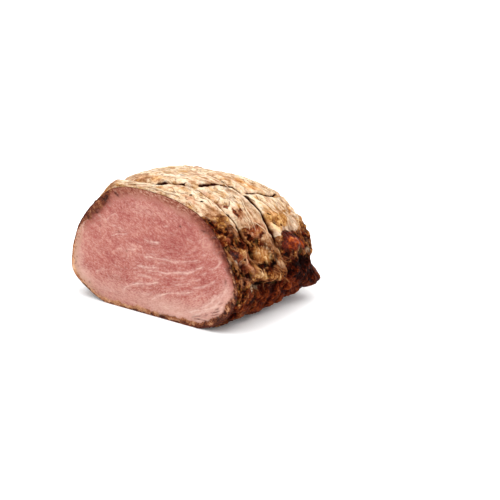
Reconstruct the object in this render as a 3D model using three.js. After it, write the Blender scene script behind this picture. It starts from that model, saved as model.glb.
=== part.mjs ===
/**
 * Roast beef: a rolled joint of beef, roasted in a net and sliced from one end, so that what is left has
 * one flat cut face and one rounded, browned end. The net is gone, but its furrows stay in the fat.
 *
 * Millimetres, +Z up. X runs across the cut face, which looks along -Y, and +Y runs to the rounded end.
 * The origin is the middle of the bounding box on the surface that the joint lies on.
 */

import * as THREE from 'three';

const { clamp, smoothstep } = THREE.MathUtils;

/* Driving dimensions: the whole joint */

// Outline of the cut face as [x, z], from its left tip over the top, down the right and back underneath
const CUT_OUTLINE = [
  [-80.5, 24], [-77.5, 40], [-70.3, 56], [-58.6, 70.2], [-50.5, 78.4], [-43.5, 83.6], [-31, 88],
  [-16, 89.5], [2, 88.6], [14, 87.2], [24, 84.4], [35, 80], [44, 73.6], [52, 64.5], [58.5, 54],
  [63.5, 43], [66, 31], [61, 18], [49, 7], [32, 1.5], [8, 0], [-22, 0], [-49, 1.5], [-66, 7.5],
  [-74, 12], [-79.5, 17],
];
const LENGTH = 123.5;
const AXIS_X = -2;
const POLE_Z = 38;

// How much fuller the joint is behind the cut face, as shares of the face's own size, and how soon
const SWELL_LEFT = 0.082;
const SWELL_RIGHT = 0.05;
const SWELL_UP = 0.035;
const SWELL_BY = 20;

// How the rounded end closes: 1 at the cut face, 0 at the pole, as (1 - t^from)^(1 / round)
const END_WIDE = { from: 5.3, round: 2.0 };
const END_TALL = { from: 3.5, round: 2.3 };
const UNDERSIDE_LIFTS_FROM = 0.6;

// The underside is pressed flat by the joint's own weight: to this depth, and fading out this high up
const PRESSED_FLAT = 1.4;
const PRESS_REACH = 14;

/* Driving dimensions: furrows of the net, with places as a, the way round the outline, and s, the length */

// Each hoop's furrow: how deep it is, how much it waists the joint, and its course once round from a = 0
const HOOP_WAIST_REACH = 7;
const HOOPS = [
  {
    at: 19,
    depth: 3.0,
    waist: 1.7,
    course: [
      [0, 22], [30, 20], [60, 16], [80, 13.5], [100, 13.5], [110, 14.5], [120, 18], [130, 22.5], [148, 21.5],
      [160, 20.5], [190, 21], [205, 22], [220, 25], [250, 27], [300, 26], [345, 24],
    ],
  },
  {
    at: 52,
    depth: 2.8,
    waist: 1.6,
    course: [
      [0, 56], [50, 58], [90, 63], [108, 63], [122, 55], [135, 51], [147, 50.3], [190, 50], [205, 52],
      [250, 55], [300, 57], [345, 56],
    ],
  },
  {
    at: 102,
    depth: 1.5,
    waist: 0.5,
    course: [[0, 103], [100, 106], [150, 103], [193, 98], [243, 101], [313, 104]],
  },
];
const HOOP_PULL_REACH = 15;
const FURROW_HALF_WIDTH = 2.2;
// Share of the furrows' depth once round from a = 0: less on the firm fat on top and low on the right
const FURROW_SHARE = [
  [0, 1], [95, 0.9], [110, 0.55], [162, 0.6], [183, 0.9], [195, 0.8], [207, 0.4], [238, 0.5], [253, 1],
];
// Furrows between the hoops, as places [a, s]
const SEAM_DEPTH = 1.9;
const SEAMS = [
  [[105, 10], [111, 12], [115.5, 16.5], [121, 21]],
  [[128, 23], [131, 29], [132, 35], [135.5, 41.5], [139.5, 47], [142, 51]],
  [[148.5, 52], [150, 58], [152, 64], [154.5, 71], [155, 79], [154, 90], [154, 102]],
  [[72, 14], [67, 30], [71, 46], [66, 60]],
  [[93, 63], [89, 80], [94, 104]],
  [[22, 20], [27, 32], [21, 46], [26, 58]],
  [[35, 58], [31, 80], [36, 104]],
];

/* Driving dimensions: single forms that the netting, the heat and the carving left */

// Fold of fat that rolls over the edge of the cut on the left shoulder, and the dent behind it
const LIP = { a: 76, s: 8, overA: 8, overS: 7, height: 3.6 };
const LIP_DENT = { a: 81, s: 18, overA: 8, overS: 4.5, height: -1.6 };

// Fold of crust along the right flank: a ridge that hangs over the hollow under it
const FOLD = {
  line: [[205, 12], [210, 24], [214, 36], [214, 50]],
  along: { from: 8, full: 18, fade: 44, end: 60 },
  ridge: { above: 4, over: 4.5, height: 3.0, droop: 1.8 },
  hollow: { below: 6.5, over: 6, depth: 4.2 },
};
// Deepest part of that hollow, where the first hoop crosses it
const PIT = { a: 220, s: 24, overA: 8, overS: 7, height: -3.6 };

// Pad of glazed fat on the right flank beyond the second hoop, and the recess under it
const PAD = { a: 193, s: 67, overA: 7, overS: 13, height: 1.8 };
const RECESS = { a: 207, s: 71, overA: 7, overS: 13, height: -4.0 };

// Torn flap of dark crust low on the right, towards the rounded end, and the dent over it
const FLAP = { a: 227, s: 90, overA: 8, overS: 9, reach: 10, towards: [0.8, 0.5, -0.42] };
const FLAP_DENT = { a: 214, s: 95, overA: 6, overS: 8, height: -4.5 };

// Sag of the top before the rounded end, and the meat that spreads low down on the right
const TOP_SAG = { a: 104, s: 80, overA: 9, overS: 10, height: -2.0 };
const LOW_BULGE = { a: 241, s: 48, overA: 9, overS: 16, height: 3.5 };

// All single lumps and dents that are raised straight out of the skin
const LUMPS = [PIT, PAD, RECESS, LIP_DENT, FLAP_DENT, TOP_SAG, LOW_BULGE];

// Crags of the browned flanks and of the rounded end: height, size of the lumps, and a finer layer
const CRAG_HEIGHT = 2.6;
const CRAG_SIZE = 11;
const CRAG_FINER = { height: 0.55, times: 2.1, offset: 9 };
const CRAG_RIGHT = { from: 159, full: 193, fade: 239, end: 271 };
const CRAG_LEFT = { from: -42, full: -14, fade: 34, end: 62 };
const CRAG_END = { share: 0.6, from: 100, full: 114 };
// Slow unevenness of the whole skin
const LUMP_HEIGHT = 1.5;
const LUMP_SIZE = 30;
const LUMP_OFFSET = 5;
// Pleats that gather towards the pole of the rounded end
const PLEATS = { count: 9, height: 1.3, from: 98, to: 112, fade: 121, waver: 2, waverLength: 17 };

// The skin keeps to the cut outline at the edge and is free of it from here on
const FREE_BY = 9;
const LIP_FREE_BY = 2;
// Relief fades out over this length before the pole, and the pull of the hoops over this one
const RELIEF_END = 3;
const PULL_END = 20;

/* Fineness of the faceted solid */

const COLUMN_SPACING = { top: 3.5, left: 6, under: 8 };
const TOP_COLUMNS = { from: 50, full: 80, fade: 239, end: 253 };
const UNDER_COLUMNS = { from: 243, full: 265, fade: 348, end: 368 };
const ROW_SPACING = 3.6;
const ROW_CROWDING = 1.3;
const ROW_CROWD_REACH = 4;
const MERIDIAN_STEPS = 1500;
const FACE_RINGS = 2;
const SLOPE_STEP = 0.5;

/* Colours of the real surfaces, as the one material of the solid */

const CRUST_BROWN = 0xb07a55;
const CRUST_ROUGHNESS = 0.55;

/* Small helpers */

/** Bell-shaped fall-off: 1 at distance 0, about a third at the half width. */
function bell(distance, halfWidth) {
  return Math.exp(-((distance / halfWidth) ** 2));
}

/** 0 below from, 1 between full and fade, 0 above end. */
function plateau(value, { from, full, fade, end }) {
  return smoothstep(value, from, full) * (1 - smoothstep(value, fade, end));
}

/** Repeatable scatter of 0..1 on whole-number places. */
function scatter(i, j, k) {
  const mixed = Math.sin(i * 127.1 + j * 311.7 + k * 74.7) * 43758.5453;
  return mixed - Math.floor(mixed);
}

/** Smooth noise of -1..1 whose lumps are about one unit across. */
function noise(x, y, z) {
  const cell = [x, y, z].map(Math.floor);
  const [fx, fy, fz] = [x, y, z].map((v, n) => smoothstep(v - cell[n], 0, 1));
  let sum = 0;
  for (let corner = 0; corner < 8; corner += 1) {
    const [dx, dy, dz] = [corner & 1, (corner >> 1) & 1, corner >> 2];
    const weight = (dx ? fx : 1 - fx) * (dy ? fy : 1 - fy) * (dz ? fz : 1 - fz);
    sum += weight * scatter(cell[0] + dx, cell[1] + dy, cell[2] + dz);
  }
  return 2 * sum - 1;
}

/* The outline of the cut face */

const outline = new THREE.CatmullRomCurve3(
  CUT_OUTLINE.map(([x, z]) => new THREE.Vector3(x, 0, z)), true, 'catmullrom', 0.5,
);
outline.arcLengthDivisions = 2000;
const GIRTH = outline.getLength();

/** Point of the outline at a millimetres from the left tip. */
function rimPoint(a) {
  return outline.getPointAt(THREE.MathUtils.euclideanModulo(a, GIRTH) / GIRTH);
}

/** Signed way round the outline from one place to another, the short way. */
function wayRound(a, from) {
  return THREE.MathUtils.euclideanModulo(a - from + GIRTH / 2, GIRTH) - GIRTH / 2;
}

/* The smooth skin */

/** Share of the cut face's size that is left at t, the share of the length. */
function endShare(t, { from, round }) {
  return Math.max(1 - t ** from, 0) ** (1 / round);
}

/** Point of the smooth skin, before furrows and crags. */
function skin(a, s) {
  const rim = rimPoint(a);
  const t = clamp(s / LENGTH, 0, 1);
  const swell = smoothstep(s, 0, SWELL_BY);
  const across = rim.x - AXIS_X;
  const swellAcross = across > 0 ? SWELL_RIGHT : SWELL_LEFT;
  const wide = (1 + swellAcross * swell) * endShare(t, END_WIDE);
  const tall = (1 + SWELL_UP * swell) * endShare(t, END_TALL);
  const rising = clamp((t - UNDERSIDE_LIFTS_FROM) / (1 - UNDERSIDE_LIFTS_FROM), 0, 1);
  const lift = POLE_Z * (1 - Math.sqrt(1 - rising ** 2));
  return new THREE.Vector3(AXIS_X + across * wide, s, lift + rim.z * tall);
}

/** Directions at a place of the skin: straight out of it, and along it the way that a runs. */
function directions(a, s) {
  const along = skin(a, Math.min(s + SLOPE_STEP, LENGTH)).sub(skin(a, Math.max(s - SLOPE_STEP, 0)));
  const around = skin(a + SLOPE_STEP, s).sub(skin(a - SLOPE_STEP, s)).normalize();
  const out = new THREE.Vector3().crossVectors(around, along).normalize();
  return { out, around };
}

/* Relief on the skin */

/** Distance from a place to a line of places. */
function awayFrom(line, a, s) {
  let nearest = Infinity;
  for (let n = 0; n + 1 < line.length; n += 1) {
    const [a0, s0] = line[n];
    const [a1, s1] = line[n + 1];
    const run = [a1 - a0, s1 - s0];
    const here = [wayRound(a, a0), s - s0];
    const share = clamp((here[0] * run[0] + here[1] * run[1]) / (run[0] ** 2 + run[1] ** 2), 0, 1);
    nearest = Math.min(nearest, Math.hypot(here[0] - share * run[0], here[1] - share * run[1]));
  }
  return nearest;
}

/** Where a line of places stands at s. */
function lineAt(line, s) {
  let n = 1;
  while (n + 1 < line.length && line[n][1] < s) {
    n += 1;
  }
  const [[a0, s0], [a1, s1]] = [line[n - 1], line[n]];
  return a0 + (a1 - a0) * clamp((s - s0) / (s1 - s0), 0, 1);
}

/** Height of a single lump or, where it is negative, dent. */
function lump({ a: a0, s: s0, overA, overS, height }, a, s) {
  return height * bell(wayRound(a, a0), overA) * bell(s - s0, overS);
}

/** Value of a course once round, at a. */
function courseAt(course, a) {
  const place = THREE.MathUtils.euclideanModulo(a, GIRTH);
  const closed = [...course, [GIRTH, course[0][1]]];
  const after = closed.findIndex(([way]) => way > place);
  const [[a0, s0], [a1, s1]] = [closed[after - 1], closed[after]];
  return s0 + (s1 - s0) * smoothstep(place, a0, a1);
}

/** How far the hoops' courses pull the skin's rows along the length, at a place. */
function stray(a, s) {
  let shift = 0;
  for (const hoop of HOOPS) {
    shift += (courseAt(hoop.course, a) - hoop.at) * bell(s - hoop.at, HOOP_PULL_REACH);
  }
  return shift * smoothstep(s, 0, FREE_BY);
}

/** Furrows of the net: the hoops, which also waist the joint and keep to their rows, and the seams. */
function furrows(a, row, s) {
  let height = 0;
  for (const hoop of HOOPS) {
    height -= hoop.depth * bell(row - hoop.at, FURROW_HALF_WIDTH);
    height -= hoop.waist * bell(row - hoop.at, HOOP_WAIST_REACH);
  }
  for (const seam of SEAMS) {
    height -= SEAM_DEPTH * bell(awayFrom(seam, a, s), FURROW_HALF_WIDTH);
  }
  return height * courseAt(FURROW_SHARE, a);
}

/** Share of full cragginess at a place: the two browned flanks, and all of the rounded end. */
function cragShare(a, s) {
  const flanks = plateau(wayRound(a, GIRTH / 2) + GIRTH / 2, CRAG_RIGHT)
    + plateau(wayRound(a, 0), CRAG_LEFT);
  const end = CRAG_END.share * smoothstep(s, CRAG_END.from, CRAG_END.full);
  return Math.min(flanks + end, 1);
}

/** Crags and slow lumps of the skin. */
function unevenness(a, s, point) {
  const [x, y, z] = point.toArray().map((value) => value / CRAG_SIZE);
  const { height, times, offset } = CRAG_FINER;
  const crags = noise(x, y, z) + height * noise(times * x, times * y + offset, times * z);
  const slow = noise(point.x / LUMP_SIZE + LUMP_OFFSET, point.y / LUMP_SIZE, point.z / LUMP_SIZE);
  return CRAG_HEIGHT * crags * cragShare(a, s) + LUMP_HEIGHT * slow;
}

/** Pleats that run towards the pole. */
function pleats(a, s) {
  const grow = smoothstep(s, PLEATS.from, PLEATS.to) * (1 - smoothstep(s, PLEATS.fade, LENGTH));
  const waver = PLEATS.waver * Math.sin(a / PLEATS.waverLength);
  return PLEATS.height * Math.sin((2 * Math.PI * PLEATS.count * a) / GIRTH + waver) * grow;
}

/** Ridge and hollow of the fold on the right flank, and how far the ridge hangs down over the hollow. */
function fold(a, s) {
  const below = wayRound(a, lineAt(FOLD.line, s));
  const ridge = bell(below + FOLD.ridge.above, FOLD.ridge.over);
  const hollow = bell(below - FOLD.hollow.below, FOLD.hollow.over);
  const share = plateau(s, FOLD.along);
  return {
    height: (FOLD.ridge.height * ridge - FOLD.hollow.depth * hollow) * share,
    droop: FOLD.ridge.droop * ridge * share,
  };
}

/** Point of the finished skin. */
function surface(a, row) {
  const s = row + stray(a, row) * (1 - smoothstep(row, LENGTH - PULL_END, LENGTH));
  const point = skin(a, s);
  const { out, around } = directions(a, s);
  const free = smoothstep(s, 0, FREE_BY) * (1 - smoothstep(s, LENGTH - RELIEF_END, LENGTH));
  const { height: foldHeight, droop } = fold(a, s);
  const lumps = LUMPS.reduce((sum, form) => sum + lump(form, a, s), 0);
  const height = furrows(a, row, s) + unevenness(a, s, point) + pleats(a, s) + foldHeight + lumps;
  point.addScaledVector(out, height * free + lump(LIP, a, s) * smoothstep(s, 0, LIP_FREE_BY));
  point.addScaledVector(around, droop * free);
  const flap = FLAP.reach * bell(wayRound(a, FLAP.a), FLAP.overA) * bell(s - FLAP.s, FLAP.overS);
  point.addScaledVector(new THREE.Vector3(...FLAP.towards), flap);
  point.y = Math.max(point.y, 0);
  point.z = Math.max(point.z - PRESSED_FLAT * (1 - smoothstep(point.z, 0, PRESS_REACH)), 0);
  return point;
}

/* Rows and columns of the faceted solid */

/** Places round the outline, closest on the top and right, widest underneath. */
function columnPlaces() {
  const places = [];
  let a = 0;
  while (a < GIRTH - COLUMN_SPACING.left / 2) {
    places.push(a);
    const { top, left, under } = COLUMN_SPACING;
    a += left + (top - left) * plateau(a, TOP_COLUMNS) + (under - left) * plateau(a, UNDER_COLUMNS);
  }
  return places;
}

/** Places along the length from the cut face to just before the pole, closest beside each hoop. */
function rowPlaces() {
  const radius = GIRTH / (2 * Math.PI);
  const steps = [{ s: 0, way: 0 }];
  for (let n = 1; n <= MERIDIAN_STEPS; n += 1) {
    const s = LENGTH * (1 - (1 - n / MERIDIAN_STEPS) ** 3);
    const last = steps[n - 1];
    const inward = radius * (endShare(last.s / LENGTH, END_WIDE) - endShare(s / LENGTH, END_WIDE));
    const crowd = HOOPS.reduce((sum, hoop) => sum + bell(s - hoop.at, ROW_CROWD_REACH), 0);
    const way = last.way + Math.hypot(s - last.s, inward) * (1 + ROW_CROWDING * crowd);
    steps.push({ s, way });
  }
  const total = steps[MERIDIAN_STEPS].way;
  const count = Math.round(total / ROW_SPACING);
  const rows = [];
  for (let n = 0; n < count; n += 1) {
    rows.push(steps.find((step) => step.way >= (total * n) / count).s);
  }
  for (const hoop of HOOPS) {
    const nearest = rows.reduce((best, s, n) => (
      Math.abs(s - hoop.at) < Math.abs(rows[best] - hoop.at) ? n : best), 0);
    rows[nearest] = hoop.at;
  }
  return rows;
}

/** Closed faceted solid of the whole joint: the flat cut face, the skin and the pole. */
function jointGeometry() {
  const columns = columnPlaces();
  const count = columns.length;
  const points = rowPlaces().flatMap((row) => columns.map((a) => surface(a, row)));
  const rows = points.length / count;
  const faces = [];
  const quad = (p, q, r, t) => faces.push(p, q, r, p, r, t);

  for (let row = 0; row + 1 < rows; row += 1) {
    for (let n = 0; n < count; n += 1) {
      const next = (n + 1) % count;
      quad(row * count + n, row * count + next, (row + 1) * count + next, (row + 1) * count + n);
    }
  }

  const pole = points.push(surface(0, LENGTH)) - 1;
  const lastRow = (rows - 1) * count;
  for (let n = 0; n < count; n += 1) {
    faces.push(lastRow + n, lastRow + ((n + 1) % count), pole);
  }

  const rim = points.slice(0, count);
  const middle = new THREE.Vector3(AXIS_X, 0, POLE_Z);
  let outer = 0;
  for (let ring = FACE_RINGS - 1; ring > 0; ring -= 1) {
    const inner = points.length;
    points.push(...rim.map((point) => middle.clone().lerp(point, ring / FACE_RINGS)));
    for (let n = 0; n < count; n += 1) {
      const next = (n + 1) % count;
      quad(inner + n, inner + next, outer + next, outer + n);
    }
    outer = inner;
  }
  const centre = points.push(middle) - 1;
  for (let n = 0; n < count; n += 1) {
    faces.push(centre, outer + ((n + 1) % count), outer + n);
  }

  const geometry = new THREE.BufferGeometry().setFromPoints(points);
  geometry.setIndex(faces);
  geometry.computeBoundingBox();
  const { min, max } = geometry.boundingBox;
  geometry.translate(-(min.x + max.x) / 2, -(min.y + max.y) / 2, -min.z);
  geometry.computeVertexNormals();
  return geometry;
}

/* The object */

/** The joint, lying on its pressed underside. */
function roastBeef() {
  const material = new THREE.MeshStandardMaterial({
    color: CRUST_BROWN, roughness: CRUST_ROUGHNESS, metalness: 0,
  });
  const joint = new THREE.Mesh(jointGeometry(), material);
  joint.name = 'roast_beef';
  return joint;
}

const group = new THREE.Group();
group.add(roastBeef());

export default group;
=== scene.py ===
"""Looks of a rolled roast beef joint: moist pink meat where it is cut, a fat cap furrowed by netting, browned crust.

The joint is one piece. Its skin is the same surface as in the part's source, with the finer relief and the marks of
roasting added, and its cut face carries the grain and the marbling. Sizes are millimetres until a mesh is made.
Places on the skin are named by a, the way round the cut outline clockwise from its left tip, and s, the length from
the cut face. Places on the cut face are named by x, to the right, and z, up.
"""

from __future__ import annotations

import logging
import math
from collections.abc import Callable
from dataclasses import dataclass, field
from enum import Enum

import bpy
import numpy as np
from mathutils import Matrix, Vector, kdtree
from mathutils.geometry import delaunay_2d_cdt


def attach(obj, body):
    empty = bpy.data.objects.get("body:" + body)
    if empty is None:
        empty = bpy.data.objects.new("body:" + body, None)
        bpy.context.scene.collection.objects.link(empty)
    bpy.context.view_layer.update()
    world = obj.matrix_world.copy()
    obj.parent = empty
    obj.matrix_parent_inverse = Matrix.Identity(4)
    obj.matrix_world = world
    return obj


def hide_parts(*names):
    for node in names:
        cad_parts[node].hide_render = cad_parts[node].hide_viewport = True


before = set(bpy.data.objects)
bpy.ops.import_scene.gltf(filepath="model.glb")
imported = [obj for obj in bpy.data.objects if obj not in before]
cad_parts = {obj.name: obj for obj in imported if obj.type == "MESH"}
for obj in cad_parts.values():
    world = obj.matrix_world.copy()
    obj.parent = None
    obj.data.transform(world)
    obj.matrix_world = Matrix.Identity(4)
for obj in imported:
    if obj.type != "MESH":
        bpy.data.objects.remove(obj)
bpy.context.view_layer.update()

LOG = logging.getLogger("roast_beef")
MM = 0.001
# Farther from a line than any line reaches, in millimetres
FAR = 9.0
# Ways that the fine flecks of the cut face run, in degrees from level
GRAIN_WAYS = (-60.0, -20.0, 20.0, 60.0)
BODY = "root"
NODE = "roast_beef"

Array = np.ndarray
Pair = tuple[float, float]
Four = tuple[float, float, float, float]
Course = tuple[Pair, ...]
Triple = tuple[float, float, float]
Spots = tuple[tuple[float, float, float, float, float], ...]
Stops = tuple[tuple[float, str], ...]
Socket = bpy.types.NodeSocket


# Small helpers


def bell(distance: Array, half_width: float | Array) -> Array:
    """Bell-shaped fall-off: 1 at distance 0, about a third at the half width."""
    return np.exp(-((distance / half_width) ** 2))


def smoothstep(value: Array, low: float | Array, high: float | Array) -> Array:
    """Smooth rise from 0 at low to 1 at high."""
    share = np.clip((value - low) / (high - low), 0.0, 1.0)
    return share * share * (3.0 - 2.0 * share)


def plateau(value: Array, start: float, full: float, fade: float, end: float) -> Array:
    """0 below start, 1 between full and fade, 0 above end."""
    return smoothstep(value, start, full) * (1.0 - smoothstep(value, fade, end))


def linear_colour(code: str) -> Four:
    """Turns an sRGB hex colour to the linear colour that a shader takes.

    Args:
        code: Six hex digits with a leading number sign.

    Returns:
        Red, green, blue and alpha, linear.
    """
    parts = (int(code[n : n + 2], 16) / 255.0 for n in (1, 3, 5))
    red, green, blue = (p / 12.92 if p <= 0.04045 else ((p + 0.055) / 1.055) ** 2.4 for p in parts)
    return red, green, blue, 1.0


def put_in_scene(thing: bpy.types.Object) -> bpy.types.Object:
    """Puts an object into the scene and gives it back."""
    bpy.context.scene.collection.objects.link(thing)
    return thing


# Repeatable noise


class Grain:
    """Repeatable noise in space, the same numbers on every run."""

    turn = np.array([[0.36, 0.48, -0.8], [-0.8, 0.6, 0.0], [0.48, 0.64, 0.6]])

    @staticmethod
    def scatter(i: Array, j: Array, k: Array) -> Array:
        """Repeatable scatter of 0..1 on whole-number places."""
        mixed = np.sin(i * 127.1 + j * 311.7 + k * 74.7) * 43758.5453
        return mixed - np.floor(mixed)

    @classmethod
    def smooth(cls, points: Array) -> Array:
        """Smooth noise of -1..1 whose lumps are about one unit across.

        Args:
            points: Places, with x, y, z last.

        Returns:
            One value a place.
        """
        cell = np.floor(points)
        rest = points - cell
        rest = rest * rest * (3.0 - 2.0 * rest)
        total = np.zeros(points.shape[:-1])
        for corner in range(8):
            step = np.array([corner & 1, (corner >> 1) & 1, corner >> 2])
            weight = np.prod(np.where(step, rest, 1.0 - rest), axis=-1)
            total += weight * cls.scatter(*np.moveaxis(cell + step, -1, 0))
        return 2.0 * total - 1.0

    @staticmethod
    def creases(noise: Array) -> Array:
        """Turns the places where noise passes 0 to creases of 0..1."""
        return np.sqrt(np.abs(noise) + 0.004)

    @classmethod
    def octaves(cls, points: Array, layers: int, keep: float, finer: float, drift: float,
                shape: Callable[[Array], Array]) -> Array:
        """Mean of ever finer noise, turned at each layer so that no lattice shows.

        Args:
            points: Places, with x, y, z last.
            layers: How many layers.
            keep: Height of a layer as a share of the one before.
            finer: How many times finer a layer is than the one before.
            drift: How far it is moved against the one before.
            shape: Gives each layer its profile.

        Returns:
            One value a place.
        """
        place, height, total, full = points, 1.0, 0.0, 0.0
        for _ in range(layers):
            place = place @ cls.turn.T
            total = total + height * shape(cls.smooth(place))
            full += height
            place, height = place * finer + drift, height * keep
        return total / full

    @classmethod
    def layered(cls, points: Array, layers: int, keep: float = 0.5, offset: float = 0.0) -> Array:
        """Cloudy noise of about -1..1; the offset moves it, so that two uses differ."""
        return cls.octaves(points + offset, layers, keep, finer=2.03, drift=17.3, shape=np.asarray) * 1.6

    @classmethod
    def crags(cls, points: Array, layers: int, keep: float = 0.5, offset: float = 0.0) -> Array:
        """Lumps of all shapes with sharp creases: about -1 in the creases to 1 on the lumps."""
        creased = cls.octaves(points + offset, layers, keep, finer=1.9, drift=11.1, shape=cls.creases)
        return (creased - 0.5) * 3.0


# The form of the joint


@dataclass(frozen=True)
class CutOutline:
    """Closed outline of the cut face, as a smooth curve through points [x, z]."""

    points: Course = (
        (-80.5, 24), (-77.5, 40), (-70.3, 56), (-58.6, 70.2), (-50.5, 78.4), (-43.5, 83.6), (-31, 88),
        (-16, 89.5), (2, 88.6), (14, 87.2), (24, 84.4), (35, 80), (44, 73.6), (52, 64.5), (58.5, 54),
        (63.5, 43), (66, 31), (61, 18), (49, 7), (32, 1.5), (8, 0), (-22, 0), (-49, 1.5), (-66, 7.5),
        (-74, 12), (-79.5, 17),
    )
    steps: int = 120
    ways: Array = field(init=False, repr=False)
    curve: Array = field(init=False, repr=False)

    def __post_init__(self) -> None:
        """Lays the curve out and measures it."""
        given = np.array(self.points, float)
        count = len(given)
        place = np.arange(count * self.steps) / self.steps
        number, share = place.astype(int), (place % 1.0)[:, None]
        before, start, stop, after = (given[(number + step) % count] for step in (-1, 0, 1, 2))
        curve = 0.5 * (
            2 * start + (stop - before) * share
            + (2 * before - 5 * start + 4 * stop - after) * share**2
            + (3 * start - before - 3 * stop + after) * share**3
        )
        curve = np.vstack([curve, curve[:1]])
        lengths = np.linalg.norm(np.diff(curve, axis=0), axis=1)
        object.__setattr__(self, "curve", curve)
        object.__setattr__(self, "ways", np.concatenate([[0.0], np.cumsum(lengths)]))

    @property
    def girth(self) -> float:
        """Length of the whole outline."""
        return float(self.ways[-1])

    def at(self, a: Array) -> Array:
        """Points [x, z] of the outline at a."""
        way = np.mod(a, self.girth)
        return np.stack([np.interp(way, self.ways, self.curve[:, n]) for n in (0, 1)], -1)

    def way_round(self, a: Array, start: float | Array) -> Array:
        """Signed way round the outline from one place to another, the short way."""
        return np.mod(a - start + self.girth / 2, self.girth) - self.girth / 2

    def course_at(self, course: Course, a: Array) -> Array:
        """Value of a closed course at a.

        Args:
            course: Pairs of a and a value, from a = 0 on.
            a: Ways round the outline.

        Returns:
            The value at each, joined smoothly.
        """
        closed = np.array([*course, (self.girth, course[0][1])], float)
        way = np.mod(a, self.girth)
        after = np.clip(np.searchsorted(closed[:, 0], way, side="right"), 1, len(closed) - 1)
        low, high = closed[after - 1], closed[after]
        share = smoothstep(way, low[..., 0], high[..., 0])
        return low[..., 1] + (high[..., 1] - low[..., 1]) * share


@dataclass(frozen=True)
class Hoop:
    """Furrow of one hoop of the net: its row, its depth, how much it waists the joint, and its course."""

    at: float
    depth: float
    waist: float
    course: Course


@dataclass(frozen=True)
class Mark:
    """One soft-edged place on the skin: where it is, how far it reaches, and how strong it is."""

    a: float
    s: float
    over_a: float
    over_s: float
    amount: float


@dataclass(frozen=True)
class Fold:
    """Ridge of crust that hangs over a hollow, along a line of places."""

    line: Course = ((205, 12), (210, 24), (214, 36), (214, 50))
    along: Four = (8, 18, 44, 60)
    ridge_above: float = 4.0
    ridge_over: float = 4.5
    ridge_height: float = 3.0
    droop: float = 1.8
    hollow_below: float = 6.5
    hollow_over: float = 6.0
    hollow_depth: float = 4.2


class Zone(Enum):
    """Kinds of surface that the roasting left on the skin, each kept as a mask. Some pale and amber spots also paint
    highlight, and some charred and ruddy ones paint shade.
    """

    FAT = "fat"
    TAN = "tan"
    GOLDEN = "golden"
    PINK = "pink"
    PALE_AND_HIGHLIGHT = "pale"
    TOASTED = "toasted"
    RUDDY = "ruddy"
    CHARRED = "charred"
    AMBER = "amber"
    WET = "wet"


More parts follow.
